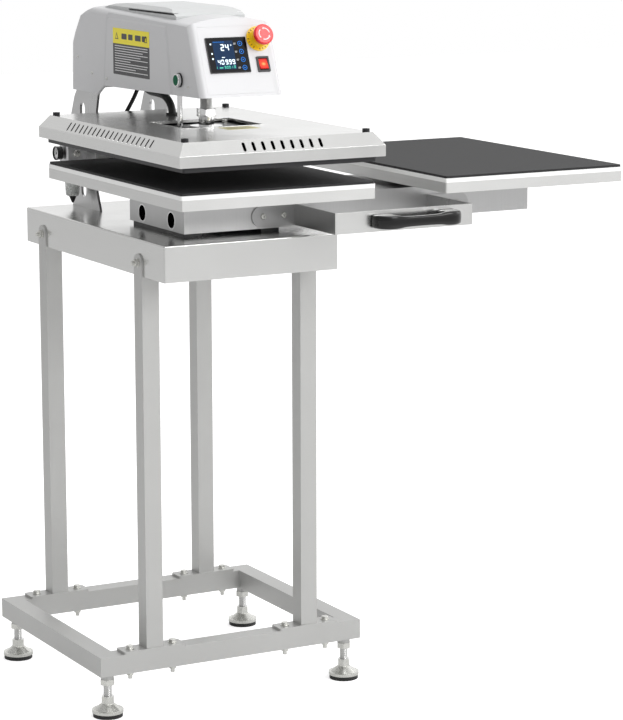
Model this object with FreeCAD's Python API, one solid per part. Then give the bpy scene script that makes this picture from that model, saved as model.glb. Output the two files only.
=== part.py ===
import FreeCAD, Part
import os
from math import atan2, cos, degrees, pi, radians, sin, sqrt, tan

V = FreeCAD.Vector
X, Y, Z = V(1, 0, 0), V(0, 1, 0), V(0, 0, 1)

# ---------------------------------------------------------------------------
# Driving dimensions, mm. The machine is laid out about the press ram:
# x = 0, y = 0 is the ram's axis, +Y is the rear, z = 0 is the floor.
# ---------------------------------------------------------------------------
PLATEN_W = 400.0          # working surface, left to right
PLATEN_D = 600.0          # working surface, front to back
PITCH = 552.4             # ram axis to the centre of the parked platen
PLATE_T = 20.0            # cast aluminium lower platen
PLATE_BOSS = 10.0         # mounting bosses cast under it
BOARD_T = 8.0             # white insulating board
PAD_T = 4.5               # black silicone foam pad
OPENING = 37.5            # pad to heating plate, press open
PRESS_CLEAR = 0.5         # left between them when the press is shut

# stand
BASE_L, BASE_D = 564.0, 492.0
BASE_Y = 148.0            # centre of the stand behind the ram
RAIL, RAIL_WALL = 38.0, 2.0
FOOT_H = 84.4             # floor to the underside of the rails
FOOT_INSET = 24.0
LEG, LEG_WALL = 35.0, 2.0
LEG_LENGTH = 718.2
LEG_PLATE_L, LEG_PLATE_T = 130.0, 5.0
LEG_BOLT_OFFSET = 45.0
LEG_SPREAD_Y = 227.0      # leg centres, either side of the stand's centre
TONGUE_H, TONGUE_T = 42.0, 3.0
BOLT_R = 4.0              # M8 throughout the stand
BOLT_CLEAR = 0.5
HEX_M8, NUT_M8_H = 13.0, 6.5
WASHER_R, WASHER_T = 8.5, 1.5

# levelling feet
STUD_R = 7.7
STUD_CLEAR = 0.3
FOOT_BOSS_R, FOOT_BOSS_H = 12.0, 11.0
LOCK_NUT_AF, LOCK_NUT_H = 25.0, 11.0
FOOT_HEX_AF, FOOT_HEX_H = 22.0, 15.5
FOOT_PLATE_R, FOOT_PLATE_T = 30.0, 16.5
FOOT_RUBBER_R, FOOT_RUBBER_T = 28.5, 8.0
FOOT_STUD_IN_RAIL = 22.0

# table box
BOX_W, BOX_D, BOX_H = 364.0, 648.0, 69.0
BOX_REAR = 460.0
BOX_SHEET = 2.5
BOX_BEND = 3.0

# uprights and arms
UPRIGHT_X, UPRIGHT_T = 80.0, 5.0      # outer face of each plate, and thickness
UPRIGHT_FRONT, UPRIGHT_REAR = 323.0, 458.0
SLOT_Y, SLOT_W = 402.0, 24.0
SLOT_LOW, SLOT_HIGH = -84.0, 108.0
ARM_FRONT = -50.0
ARM_LOW, ARM_HIGH = 165.0, 276.0
CROSSBAR_D, CROSSBAR_H, CROSSBAR_WALL = 30.0, 60.0, 3.0
CROSSBAR_Y = 345.0

# carriage
RIDE_GAP = 7.3            # table top to the carriage's lower edge
BEAM_D, BEAM_H, BEAM_SHEET = 240.0, 59.5, 3.0
BEAM_Y = 8.0
BEAM_OVERHANG = 104.0     # beyond each platen's centre
SHAFT_R, SHAFT_BORE_R = 17.0, 15.0
SHAFT_SPACING, SHAFT_UP = 128.0, 20.0
SHAFT_CLEAR = 0.06
BLOCK_W, BLOCK_SIDE_GAP, BLOCK_ABOVE = 38.0, 6.0, 6.0
STOP_GAP = 0.5
BOSS_R = 22.0
BOSS_DX, BOSS_DY = 70.0, 88.0

# handle
BRACKET_HALF, BRACKET_T, BRACKET_H = 149.0, 3.0, 40.0
BRACKET_REACH = 162.0     # tab face to the front plate's face
BRACKET_TAB = 90.0
BRACKET_LIFT = 3.5        # tab above the carriage's lower edge
HANDLE_L, HANDLE_H, HANDLE_OUT = 186.0, 27.0, 40.0
HANDLE_X = 20.0           # right of the bracket's centre
HANDLE_GRIP_T, HANDLE_FOOT_L = 15.0, 44.0

# heated platen, heights above the lower board's top
HEAT_Z, HEAT_T = 42.0, 18.0
HEAT_W, HEAT_D = 396.0, 612.0
COVER_W, COVER_D, COVER_SHEET = 422.0, 637.0, 1.5
COVER_Z, COVER_SKIRT, COVER_TOP = 52.0, 73.0, 96.0
COVER_INSET_X, COVER_INSET_Y = 16.5, 18.5
HATCH_HALF_X, HATCH_HALF_Y = 85.0, 75.0
VENTS_SIDE, VENTS_FRONT = 20, 9
VENT_PITCH, VENT_W, VENT_H = 19.6, 5.2, 15.5
HUB_W, HUB_D, HUB_T = 180.0, 164.0, 8.0
HUB_TOP = 88.0
HUB_POST_R, HUB_POST_DX, HUB_POST_DY = 9.0, 70.0, 62.0
FLANGE_R, FLANGE_T = 31.5, 4.0
SOCKET_R, SOCKET_TOP = 14.75, 110.0
RAM_NUT_AF, RAM_NUT_H, RAM_NUT_CHAMFER = 36.0, 15.0, 2.6
THREAD_R, ROD_R = 11.7, 12.5
THREAD_TOP = 158.0
GUIDE_X, GUIDE_R, GUIDE_TOP = -56.0, 5.0, 236.0
GUIDE_CLEAR = 0.06
COVER_SCREW_X, COVER_SCREW_Y = 186.0, 288.0

# cylinder
MOUNT_T = 8.0
BORE_R, BARREL_R, CAP_HALF = 40.0, 45.0, 46.0
CAP_LOW_T, BARREL_L, CAP_HIGH_T = 24.0, 68.0, 20.0
PISTON_T = 16.0
ROD_CLEAR = 0.06
PISTON_CLEAR = 0.06

# head shell, heights above the lower board's top
HEAD_WALL, HEAD_SIDE_WALL = 2.5, 3.0
HEAD_SIDE_GAP = 3.0                   # uprights to the inside of the shell
SIDE_STEP, SIDE_CHAMFER = 3.0, 6.0    # side panels stand out from the rest
PANEL_STEP = 1.0
HEAD_FRONT_LOW, HEAD_FRONT_Z = -152.0, 158.0
HEAD_FRONT_TOP, HEAD_FRONT_TOP_Z = -98.0, 293.0
HEAD_NOTCH_Y, HEAD_NOTCH_Z = 275.0, 151.0
LOBE_Y, LOBE_Z = 306.0, 133.0
HEAD_REAR = 433.0
REAR_DROP, REAR_RISE = 4.0, 84.0      # lean of the rear face
HEAD_CROWN = 301.5
HEAD_RISE = 1.5           # degrees, crown rising to the rear
SHOULDER_R = 15.0
FRONT_CORNER_R, REAR_CORNER_R = 17.0, 9.0
LID_HALF, LID_TOP_HALF = 72.0, 61.0
LID_FRONT, LID_REAR = -22.0, 336.0
LID_SHOULDER, LID_TOP = 308.0, 316.0
LID_WALL = 2.5
SLIT_H, SLIT_Z = 3.5, 303.0

# controls: places are across, and up the front panel from its lower edge
PANEL_HALF, PANEL_LOW, PANEL_HIGH, PANEL_T = 70.0, 6.0, 137.0, 2.5
PANEL_SEAM = 0.1
DISPLAY_AT, DISPLAY_W, DISPLAY_H = (-15.0, 81.0), 84.0, 69.0
ROCKER_AT, ROCKER_W, ROCKER_H = (55.0, 61.0), 25.5, 30.0
ESTOP_AT, ESTOP_DISC_R, ESTOP_CAP_R = (53.5, 111.0), 24.0, 19.5
START_Y, START_Z, START_R = -63.0, 186.0, 13.5
ROCKER_THROW = 22.0       # degrees
ROCKER_PIVOT = -0.2       # its axis over the panel
ROCKER_PIN_R, ROCKER_PIN_CLEAR = 1.2, 0.05
INLET_Z = 165.0
FIT = 0.3                 # loose fit of a part dropped into its cut-out

# air preparation
FR_OUT, FR_Y, FR_Z = 24.5, 402.0, 8.0     # regulator axis outside the left upright
FR_BODY = 40.0
BOWL_R, BOWL_TIP_R, BOWL_L = 17.0, 14.0, 62.0
KNOB_R, KNOB_H = 16.0, 26.0
SPINDLE_R, SPINDLE_CLEAR = 6.0, 0.05
GAUGE_R, GAUGE_T = 13.5, 12.0
HOSE_R = 4.0
CONDUIT_R = 7.5

# ---------------------------------------------------------------------------
# Sizes worked out from the ones above
# ---------------------------------------------------------------------------
RAIL_TOP = FOOT_H + RAIL
BOX_Z = RAIL_TOP + LEG_PLATE_T + LEG_LENGTH
BOX_TOP = BOX_Z + BOX_H
BEAM_Z = BOX_TOP + RIDE_GAP
BEAM_TOP = BEAM_Z + BEAM_H
PLATE_Z = BEAM_TOP + PLATE_BOSS
WORK = PLATE_Z + PLATE_T + BOARD_T        # top of the lower board
TRAVEL = OPENING - PRESS_CLEAR
BEAM_X0 = -BEAM_OVERHANG
BEAM_X1 = PITCH + BEAM_OVERHANG
SHAFT_Z = BEAM_Z + SHAFT_UP
LEG_X = BOX_W / 2 + TONGUE_T - LEG / 2
LEG_YS = (BASE_Y - LEG_SPREAD_Y, BASE_Y + LEG_SPREAD_Y)
FOOT_XS = (-BASE_L / 2 + FOOT_INSET, BASE_L / 2 - FOOT_INSET)
FOOT_YS = (BASE_Y - BASE_D / 2 + FOOT_INSET, BASE_Y + BASE_D / 2 - FOOT_INSET)
ARM_INNER = UPRIGHT_X - UPRIGHT_T
FR_X = -UPRIGHT_X - FR_OUT
HEAD_INNER_HALF = UPRIGHT_X + HEAD_SIDE_GAP
HEAD_HALF = HEAD_INNER_HALF + HEAD_SIDE_WALL + SIDE_STEP
MOUNT_Z = WORK + ARM_LOW
CAP_Z = MOUNT_Z + MOUNT_T
BARREL_Z = CAP_Z + CAP_LOW_T
CAP_HIGH_Z = BARREL_Z + BARREL_L
BRACKET_X = PITCH / 2
BEAM_FRONT = BEAM_Y - BEAM_D / 2
TAB_FACE = BEAM_FRONT - BRACKET_T
PLATE_FACE = TAB_FACE - BRACKET_REACH
BRACKET_Z = BEAM_Z + BRACKET_LIFT
HANDLE_FRONT = PLATE_FACE - HANDLE_OUT
PANEL_TILT = degrees(atan2(HEAD_FRONT_TOP_Z - HEAD_FRONT_Z, HEAD_FRONT_TOP - HEAD_FRONT_LOW))

# origin of the finished part: the middle of its box, on the floor
LEFT_END = min(-BASE_L / 2, FOOT_XS[0] - FOOT_PLATE_R)
FRONT_END = min(HANDLE_FRONT, -COVER_D / 2)
ORIGIN = V((PITCH + PLATEN_W / 2 + LEFT_END) / 2, (BOX_REAR + FRONT_END) / 2, 0)


# ---------------------------------------------------------------------------
# Helpers
# ---------------------------------------------------------------------------
def box(x0, x1, y0, y1, z0, z1):
    return Part.makeBox(x1 - x0, y1 - y0, z1 - z0, V(x0, y0, z0))


def cyl(radius, length, base, axis=Z):
    return Part.makeCylinder(radius, length, base, axis)


def cone(r0, r1, length, base, axis=Z):
    return Part.makeCone(r0, r1, length, base, axis)


def prism(points, direction):
    wire = Part.makePolygon([*points, points[0]])
    return Part.Face(wire).extrude(direction)


def side_prism(outline, x0, x1):
    """An outline of (y, z above the board) points, extruded across the machine."""
    return prism([V(x0, y, WORK + z) for y, z in outline], V(x1 - x0, 0, 0))


def hexagon(across_flats, height, base, axis=Z, bore=0.0):
    radius = across_flats / sqrt(3)
    ring = [V(radius * cos(radians(60 * k)), radius * sin(radians(60 * k)), 0) for k in range(6)]
    body = prism(ring, V(0, 0, height))
    body = body.common(cone(radius + height * 0.6, radius - 1.2, height, V(0, 0, 0)).fuse(
        cyl(radius - 0.6, height, V(0, 0, 0))).removeSplitter())
    if bore:
        body = body.cut(cyl(bore, height + 2, V(0, 0, -1)))
    body.Placement = FreeCAD.Placement(base, FreeCAD.Rotation(Z, axis))
    return body


def fused(shapes):
    return shapes[0].multiFuse(shapes[1:]).removeSplitter()


def mirrored_x(shape):
    return shape.mirror(V(0, 0, 0), X)


def rounded(shape, radius, chosen):
    """Round the edges for which chosen(edge) is true."""
    edges = [e for e in shape.Edges if chosen(e)]
    return shape.makeFillet(radius, edges)


def upright_edge(edge):
    if len(edge.Vertexes) < 2:
        return False
    a, b = edge.Vertexes[0].Point, edge.Vertexes[1].Point
    return abs(a.x - b.x) < 1e-6 and abs(a.y - b.y) < 1e-6


def slab(width, depth, height, base, corner):
    """A plate centred on base, with rounded vertical corners."""
    plate = box(-width / 2, width / 2, -depth / 2, depth / 2, 0, height)
    plate = rounded(plate, corner, upright_edge)
    plate.translate(base)
    return plate


def tube_path(name, points, radius):
    """Round tube through the points: straight runs joined by tangent arcs."""
    edges = []
    radii = []
    start = points[0]
    for k in range(1, len(points) - 1):
        into = points[k] - points[k - 1]
        out = points[k + 1] - points[k]
        turn = into.getAngle(out)
        bend = 0.45 * min(into.Length, out.Length) / tan(turn / 2)
        trim = bend * tan(turn / 2)
        a = points[k] - into.normalize() * trim
        b = points[k] + out.normalize() * trim
        mid_dir = ((a - points[k]) + (b - points[k])).normalize()
        mid = points[k] + mid_dir * (bend / cos(turn / 2) - bend)
        edges.append(Part.LineSegment(start, a).toShape())
        edges.append(Part.Arc(a, mid, b).toShape())
        radii.append(round(bend, 1))
        start = b
    edges.append(Part.LineSegment(start, points[-1]).toShape())
    path = Part.Wire(edges)
    tangent = points[1] - points[0]
    profile = Part.Wire([Part.Circle(points[0], tangent, radius).toShape()])
    tube = path.makePipeShell([profile], True, False)
    print(name, "bend radii", radii, "length", round(path.Length, 1),
          "volume ratio", round(tube.Volume / (path.Length * pi * radius ** 2), 4))
    return tube


def on_panel(shape):
    """Move a shape drawn as (across, up the panel, outward) to the front panel."""
    shape.Placement = FreeCAD.Placement(
        V(0, HEAD_FRONT_LOW, WORK + HEAD_FRONT_Z), FreeCAD.Rotation(X, PANEL_TILT)).multiply(shape.Placement)
    return shape


def export(name, *solids):
    shape = Part.makeCompound([s for piece in solids for s in piece.Solids]) if (
        len(solids) > 1 or len(solids[0].Solids) > 1) else solids[0].Solids[0]
    moved = shape.copy()
    moved.translate(-ORIGIN)
    moved.exportStep("parts/" + name + ".step")


# ---------------------------------------------------------------------------
# Stand
# ---------------------------------------------------------------------------
def mitred_rail(length, bosses):
    """Square tube along X with mitred ends and two welded foot bosses."""
    half = length / 2
    outer = box(-half, half, -RAIL / 2, RAIL / 2, FOOT_H, RAIL_TOP)
    inner = box(-half - 1, half + 1, -RAIL / 2 + RAIL_WALL, RAIL / 2 - RAIL_WALL,
                FOOT_H + RAIL_WALL, RAIL_TOP - RAIL_WALL)
    rail = outer.cut(inner)
    for side in (-1, 1):
        corner = [V(side * half, -RAIL / 2 - 1, 0), V(side * (half + 5), -RAIL / 2 - 1, 0),
                  V(side * (half + 5), RAIL / 2 + 1, 0), V(side * (half - RAIL - 1), RAIL / 2 + 1, 0),
                  V(side * (half - RAIL), RAIL / 2, 0), V(side * half, -RAIL / 2, 0)]
        wedge = prism([p + V(0, 0, FOOT_H - 20) for p in corner], V(0, 0, RAIL + 40))
        rail = rail.cut(wedge)
    return rail


def stand():
    front_y = BASE_Y - BASE_D / 2 + RAIL / 2
    rear_y = BASE_Y + BASE_D / 2 - RAIL / 2
    left_x = -BASE_L / 2 + RAIL / 2
    leg_holes = [cyl(BOLT_R + BOLT_CLEAR, RAIL + 10, V(x, y, FOOT_H - 5))
                 for x in bolt_xs() for y in LEG_YS]
    stud_holes = [cyl(STUD_R + STUD_CLEAR, RAIL - 5, V(x, y, FOOT_H - 15))
                  for x in FOOT_XS for y in FOOT_YS]
    bosses = [cyl(FOOT_BOSS_R, FOOT_BOSS_H, V(x, y, FOOT_H - FOOT_BOSS_H)) for x in FOOT_XS for y in FOOT_YS]
    cuts = Part.makeCompound(leg_holes + stud_holes)

    def place(length, angle, x, y, extra):
        rail = mitred_rail(length, ())
        rail.rotate(V(0, 0, 0), Z, angle)
        rail.translate(V(x, y, 0))
        return fused([rail, *extra]).cut(cuts) if extra else rail.cut(cuts)

    export("base_rail_front", place(BASE_L, 0, 0, front_y, ()))
    export("base_rail_rear", place(BASE_L, 180, 0, rear_y, ()))
    export("base_rail_left", place(BASE_D, -90, left_x, BASE_Y, bosses[:2]))
    export("base_rail_right", place(BASE_D, 90, -left_x, BASE_Y, bosses[2:]))

    names = {(-1, 0): "leg_front_left", (1, 0): "leg_front_right",
             (-1, 1): "leg_rear_left", (1, 1): "leg_rear_right"}
    for (side, row), name in names.items():
        export(name, leg(side, LEG_YS[row]))


def bolt_xs():
    return [side * LEG_X + offset for side in (-1, 1) for offset in (-LEG_BOLT_OFFSET, LEG_BOLT_OFFSET)]


def leg(side, y):
    x = side * LEG_X
    half = LEG / 2
    plate_z = RAIL_TOP + LEG_PLATE_T
    foot = slab(LEG_PLATE_L, RAIL, LEG_PLATE_T, V(x, y, RAIL_TOP), 5.0)
    tube = box(x - half, x + half, y - half, y + half, plate_z, BOX_Z)
    tube = tube.cut(box(x - half + LEG_WALL, x + half - LEG_WALL, y - half + LEG_WALL, y + half - LEG_WALL,
                        plate_z, BOX_Z - LEG_WALL))
    outer = side * (BOX_W / 2 + TONGUE_T)
    tongue = box(min(outer, outer - side * TONGUE_T), max(outer, outer - side * TONGUE_T),
                 y - half, y + half, BOX_Z - 1, BOX_Z + TONGUE_H - half)
    top = cyl(half, TONGUE_T, V(outer, y, BOX_Z + TONGUE_H - half), V(-side, 0, 0))
    hole = cyl(BOLT_R + BOLT_CLEAR, 12, V(outer + side * 4, y, tongue_bolt_z()), V(-side, 0, 0))
    shape = fused([foot, tube, tongue, top]).cut(hole)
    for offset in (-LEG_BOLT_OFFSET, LEG_BOLT_OFFSET):
        shape = shape.cut(cyl(BOLT_R + BOLT_CLEAR, 20, V(x + offset, y, RAIL_TOP - 5)))
    return shape


def tongue_bolt_z():
    return BOX_Z + TONGUE_H - LEG / 2


def hex_bolt(head_at, axis, length):
    """Bolt with its washer: head_at is on the clamped face, axis points into the work."""
    washer = cyl(WASHER_R, WASHER_T, head_at - axis * WASHER_T, axis)
    head = hexagon(HEX_M8, 5.3, head_at - axis * WASHER_T, -axis)
    shank = cyl(BOLT_R, length + WASHER_T, head_at - axis * WASHER_T, axis)
    return fused([washer, head, shank])


def nut(at, axis):
    """Nut and washer sitting on the face at 'at', standing out along axis."""
    washer = cyl(WASHER_R, WASHER_T, at, axis)
    body = hexagon(HEX_M8, NUT_M8_H, at + axis * WASHER_T, axis)
    both = fused([washer, body])
    return both.cut(cyl(BOLT_R, 30, at - axis * 5, axis))


def stand_fasteners():
    bolts, nuts = [], []
    for x in bolt_xs():
        for y in LEG_YS:
            top = V(x, y, RAIL_TOP + LEG_PLATE_T)
            bolts.append(hex_bolt(top, -Z, LEG_PLATE_T + RAIL + NUT_M8_H + 9))
            nuts.append(nut(V(x, y, FOOT_H), -Z))
    for side in (-1, 1):
        for y in LEG_YS:
            wall = V(side * (BOX_W / 2 - BOX_SHEET), y, tongue_bolt_z())
            outward = V(side, 0, 0)
            bolts.append(hex_bolt(wall, outward, TONGUE_T + BOX_SHEET + WASHER_T + NUT_M8_H + 5))
            nuts.append(nut(wall + outward * (TONGUE_T + BOX_SHEET), outward))
    for x in FOOT_XS:
        for y in FOOT_YS:
            nuts.append(hexagon(LOCK_NUT_AF, LOCK_NUT_H, V(x, y, FOOT_H - FOOT_BOSS_H - LOCK_NUT_H), Z,
                                STUD_R + STUD_CLEAR))
    export("leg_bolts", *bolts)
    export("leg_nuts", *nuts)


def levelling_foot(x, y):
    """Stud crimped into its zinc plate, on a bonded rubber pad."""
    rubber = cyl(FOOT_RUBBER_R, FOOT_RUBBER_T, V(x, y, 0))
    plate_z = FOOT_RUBBER_T
    rim = cyl(FOOT_PLATE_R, 6.0, V(x, y, plate_z))
    hub = cone(FOOT_PLATE_R - 4, 13.0, FOOT_PLATE_T - 6.0, V(x, y, plate_z + 6.0))
    hex_z = plate_z + FOOT_PLATE_T
    grip = hexagon(FOOT_HEX_AF, FOOT_HEX_H, V(x, y, hex_z))
    top = FOOT_H + FOOT_STUD_IN_RAIL - 8.0
    stud = cyl(STUD_R, top - hex_z, V(x, y, hex_z))
    return rubber, fused([rim, hub, grip, stud])


def levelling_feet():
    for row, y in zip(("front", "rear"), FOOT_YS):
        for side, x in zip(("left", "right"), FOOT_XS):
            export("levelling_foot_%s_%s" % (row, side), *levelling_foot(x, y))


# ---------------------------------------------------------------------------
# Table box, uprights and arms
# ---------------------------------------------------------------------------
def base_box():
    y0 = BOX_REAR - BOX_D
    outer = box(-BOX_W / 2, BOX_W / 2, y0, BOX_REAR, BOX_Z, BOX_TOP)
    outer = rounded(outer, BOX_BEND, lambda e: upright_edge(e) or min(v.Z for v in e.Vertexes) > BOX_TOP - 1)
    inner = box(-BOX_W / 2 + BOX_SHEET, BOX_W / 2 - BOX_SHEET, y0 + BOX_SHEET, BOX_REAR - BOX_SHEET,
                BOX_Z - 1, BOX_TOP - BOX_SHEET)
    shell = outer.cut(inner)
    for side in (-1, 1):
        for y in LEG_YS:
            shell = shell.cut(cyl(BOLT_R + BOLT_CLEAR, 12, V(side * (BOX_W / 2 + 4), y, tongue_bolt_z()),
                                  V(-side, 0, 0)))
    export("base_box", shell)


def upright_outline():
    """Side plate with its arm, as (y, z above the board)."""
    foot = BOX_TOP - WORK
    return [(UPRIGHT_FRONT, foot), (UPRIGHT_REAR, foot), (UPRIGHT_REAR + 1, 80), (HEAD_REAR + 8, 118),
            (HEAD_REAR - 5, LOBE_Z), (404, 236), (376, 264),
            (250, ARM_HIGH), (ARM_FRONT + 25, ARM_HIGH - 6), (ARM_FRONT, ARM_HIGH - 32), (ARM_FRONT, ARM_LOW),
            (290, ARM_LOW), (326, 128), (336, 94), (340, -65)]


def upright_slot(x):
    half = SLOT_W / 2
    low, high = WORK + SLOT_LOW + half, WORK + SLOT_HIGH - half
    slot = box(x - 10, x + 10, SLOT_Y - half, SLOT_Y + half, low, high)
    ends = [cyl(half, 20, V(x - 10, SLOT_Y, z), X) for z in (low, high)]
    return fused([slot, *ends])


def uprights():
    for side, name in ((-1, "upright_left"), (1, "upright_right")):
        inner, outer = sorted((side * ARM_INNER, side * UPRIGHT_X))
        plate = side_prism(upright_outline(), inner, outer)
        plate = plate.cut(upright_slot((inner + outer) / 2))
        export(name, plate)
    y0, y1 = CROSSBAR_Y, CROSSBAR_Y + CROSSBAR_D
    z0, z1 = WORK - CROSSBAR_H / 2, WORK + CROSSBAR_H / 2
    wall = CROSSBAR_WALL
    bar = box(-ARM_INNER, ARM_INNER, y0, y1, z0, z1)
    bar = bar.cut(box(-ARM_INNER, ARM_INNER, y0 + wall, y1 - wall, z0 + wall, z1 - wall))
    export("upright_crossbar", bar)


# ---------------------------------------------------------------------------
# Air cylinder and ram
# ---------------------------------------------------------------------------
def cylinder_parts():
    plate = box(-ARM_INNER, ARM_INNER, ARM_FRONT + 2, 62, MOUNT_Z, CAP_Z)
    plate = plate.cut(cyl(ROD_R + 6, 20, V(0, 0, MOUNT_Z - 5)))
    plate = plate.cut(cyl(GUIDE_R + GUIDE_CLEAR, 20, V(GUIDE_X, 0, MOUNT_Z - 5)))
    export("cylinder_mount", plate)

    low = slab(2 * CAP_HALF, 2 * CAP_HALF, CAP_LOW_T, V(0, 0, CAP_Z), 8.0)
    high = slab(2 * CAP_HALF, 2 * CAP_HALF, CAP_HIGH_T, V(0, 0, CAP_HIGH_Z), 8.0)
    barrel = cyl(BARREL_R, BARREL_L, V(0, 0, BARREL_Z))
    body = fused([low, barrel, high])
    body = body.cut(cyl(BORE_R, BARREL_L, V(0, 0, BARREL_Z)))
    body = body.cut(cyl(ROD_R + ROD_CLEAR, CAP_LOW_T + 2, V(0, 0, CAP_Z - 1)))
    for z, length in ((CAP_Z + CAP_LOW_T / 2, 30), (CAP_HIGH_Z + CAP_HIGH_T / 2, 30)):
        body = body.cut(cyl(3.2, length, V(0, CAP_HALF + 1, z), -Y))
    export("air_cylinder", body)

    piston_top = CAP_HIGH_Z - 1.0
    piston = cyl(BORE_R - PISTON_CLEAR, PISTON_T, V(0, 0, piston_top - PISTON_T))
    smooth_z = WORK + THREAD_TOP
    smooth = cyl(ROD_R, piston_top - PISTON_T / 2 - smooth_z, V(0, 0, smooth_z))
    thread_z = WORK + HUB_TOP + FLANGE_T
    thread = cyl(THREAD_R, smooth_z - thread_z, V(0, 0, thread_z))
    export("piston_rod", fused([piston, smooth, thread]))
    nut_z = WORK + SOCKET_TOP
    nut = hexagon(RAM_NUT_AF, RAM_NUT_H, V(0, 0, nut_z), Z, THREAD_R)
    corner = RAM_NUT_AF / 2 / cos(radians(30)) + 0.1
    face = corner - RAM_NUT_CHAMFER
    rise = RAM_NUT_CHAMFER * 0.7
    turned = [cone(face, corner, rise, V(0, 0, nut_z)), cyl(corner, RAM_NUT_H - 2 * rise, V(0, 0, nut_z + rise)),
              cone(corner, face, rise, V(0, 0, nut_z + RAM_NUT_H - rise))]
    export("ram_nut", nut.common(fused(turned)))
    guide = cyl(GUIDE_R, GUIDE_TOP - HUB_TOP, V(GUIDE_X, 0, WORK + HUB_TOP))
    guide = rounded(guide, 1.0, lambda e: e.Vertexes[0].Z > WORK + GUIDE_TOP - 0.5 and len(e.Vertexes) == 1)
    export("guide_rod", guide)


# ---------------------------------------------------------------------------
# Heated platen
# ---------------------------------------------------------------------------
def cover_solid(inset):
    """The cover's outer form, shrunk by inset: a skirt with a sloped band above it."""
    def rect(half_x, half_y, z):
        pts = [V(-half_x, -half_y, z), V(half_x, -half_y, z), V(half_x, half_y, z), V(-half_x, half_y, z)]
        return Part.makePolygon([*pts, pts[0]])

    hx, hy = COVER_W / 2 - inset, COVER_D / 2 - inset
    skirt_z = WORK + COVER_SKIRT - inset * 0.3
    top_z = WORK + COVER_TOP - inset
    skirt = box(-hx, hx, -hy, hy, WORK + COVER_Z - (1 if inset else 0), skirt_z)
    band = Part.makeLoft([rect(hx, hy, skirt_z), rect(hx - COVER_INSET_X, hy - COVER_INSET_Y, top_z)], True, True)
    return fused([skirt, band])


def vent_slots():
    """Upright slots with rounded ends in the left band, and a row in the front band."""
    def slot(half_width, half_height):
        straight = half_height - half_width
        middle = box(-half_width, half_width, -20, 20, -straight, straight)
        return fused([middle, *[cyl(half_width, 40, V(0, -20, z), Y) for z in (-straight, straight)]])

    cuts = []
    height = WORK + (COVER_SKIRT + COVER_TOP) / 2
    for k in range(VENTS_SIDE):
        cut = slot(VENT_W / 2, VENT_H / 2)
        cut.rotate(V(0, 0, 0), Z, 90)
        cut.translate(V(-(COVER_W - COVER_INSET_X) / 2, (k - (VENTS_SIDE - 1) / 2) * VENT_PITCH, height - 1))
        cuts.append(cut)
    for k in range(VENTS_FRONT):
        cut = slot(VENT_W * 0.6, VENT_H / 2)
        cut.translate(V((k - (VENTS_FRONT - 1) / 2) * VENT_PITCH, -(COVER_D - COVER_INSET_Y) / 2, height - 1))
        cuts.append(cut)
    return cuts


def heated_platen():
    cover = cover_solid(0.0).cut(cover_solid(COVER_SHEET))
    hatch = box(-HATCH_HALF_X, HATCH_HALF_X, -HATCH_HALF_Y, HATCH_HALF_Y, WORK + COVER_TOP - 10, WORK + COVER_TOP + 5)
    cover = cover.cut(hatch)
    cover = cover.cut(Part.makeCompound(vent_slots()))
    grommet_hole = cyl(CONDUIT_R + 3.5, 20, V(*GLAND, WORK + COVER_TOP - 10))
    cover = cover.cut(grommet_hole)
    for x, y in cover_screw_places():
        cover = cover.cut(cyl(3.3, 20, V(x, y, WORK + COVER_TOP - 10)))
    export("platen_cover", cover)

    heat = slab(HEAT_W, HEAT_D, HEAT_T, V(0, 0, WORK + HEAT_Z), 4.0)
    groove_z = WORK + HEAT_Z + HEAT_T - 7.0
    grooves = []
    rods = []
    for k in range(4):
        x = -135.0 + 90.0 * k
        grooves.append(box(x - 5, x + 5, -HEAT_D / 2 + 30, HEAT_D / 2 - 30, groove_z, groove_z + 20))
        rods.append(cyl(4.0, HEAT_D - 80, V(x, -HEAT_D / 2 + 40, groove_z + 4.0), Y))
    heat = heat.cut(Part.makeCompound(grooves))
    holes = [cyl(3.0, 15, V(x, y, WORK + HEAT_Z + 6)) for x, y in cover_screw_places() + hub_screw_places()]
    heat = heat.cut(Part.makeCompound(holes))
    export("heating_plate", heat)
    export("heating_element", *rods)

    hub = slab(HUB_W, HUB_D, HUB_T, V(0, 0, WORK + HUB_TOP - HUB_T), 6.0)
    posts = [cyl(HUB_POST_R, HUB_TOP - HUB_T - HEAT_Z - HEAT_T, V(x, y, WORK + HEAT_Z + HEAT_T))
             for x, y in hub_screw_places()]
    flange = cyl(FLANGE_R, FLANGE_T, V(0, 0, WORK + HUB_TOP))
    socket = cyl(SOCKET_R, SOCKET_TOP - HUB_TOP, V(0, 0, WORK + HUB_TOP))
    hub = fused([hub, *posts, flange, socket])
    hub = hub.cut(cyl(THREAD_R, 60, V(0, 0, WORK + HUB_TOP + FLANGE_T)))
    for x, y in hub_screw_places():
        hub = hub.cut(cyl(3.3, 60, V(x, y, WORK + HEAT_Z + HEAT_T - 1)))
    export("hub_plate", hub)

    screws = []
    for x, y in hub_screw_places():
        shank = cyl(3.0, HUB_TOP - HEAT_Z - 8, V(x, y, WORK + HEAT_Z + 8))
        screws.append(fused([shank, hexagon(10.0, 6.0, V(x, y, WORK + HUB_TOP))]))
    for x, y in cover_screw_places():
        shank = cyl(3.0, COVER_TOP - HEAT_Z - 8, V(x, y, WORK + HEAT_Z + 8))
        head = cyl(7.0, 6.0, V(x, y, WORK + COVER_TOP))
        socket_cut = hexagon(5.0, 4.0, V(x, y, WORK + COVER_TOP + 3.0))
        screws.append(fused([shank, head]).cut(socket_cut))
    export("platen_screws", *screws)

    ring = cyl(CONDUIT_R + 5.5, 4.0, V(*GLAND, WORK + COVER_TOP))
    neck = cyl(CONDUIT_R + 3.4, 8.0, V(*GLAND, WORK + COVER_TOP - 5.0))
    gland = fused([ring, neck]).cut(cyl(CONDUIT_R + 2.2, 20, V(*GLAND, WORK + COVER_TOP - 10)))
    export("conduit_gland", gland)


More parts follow.
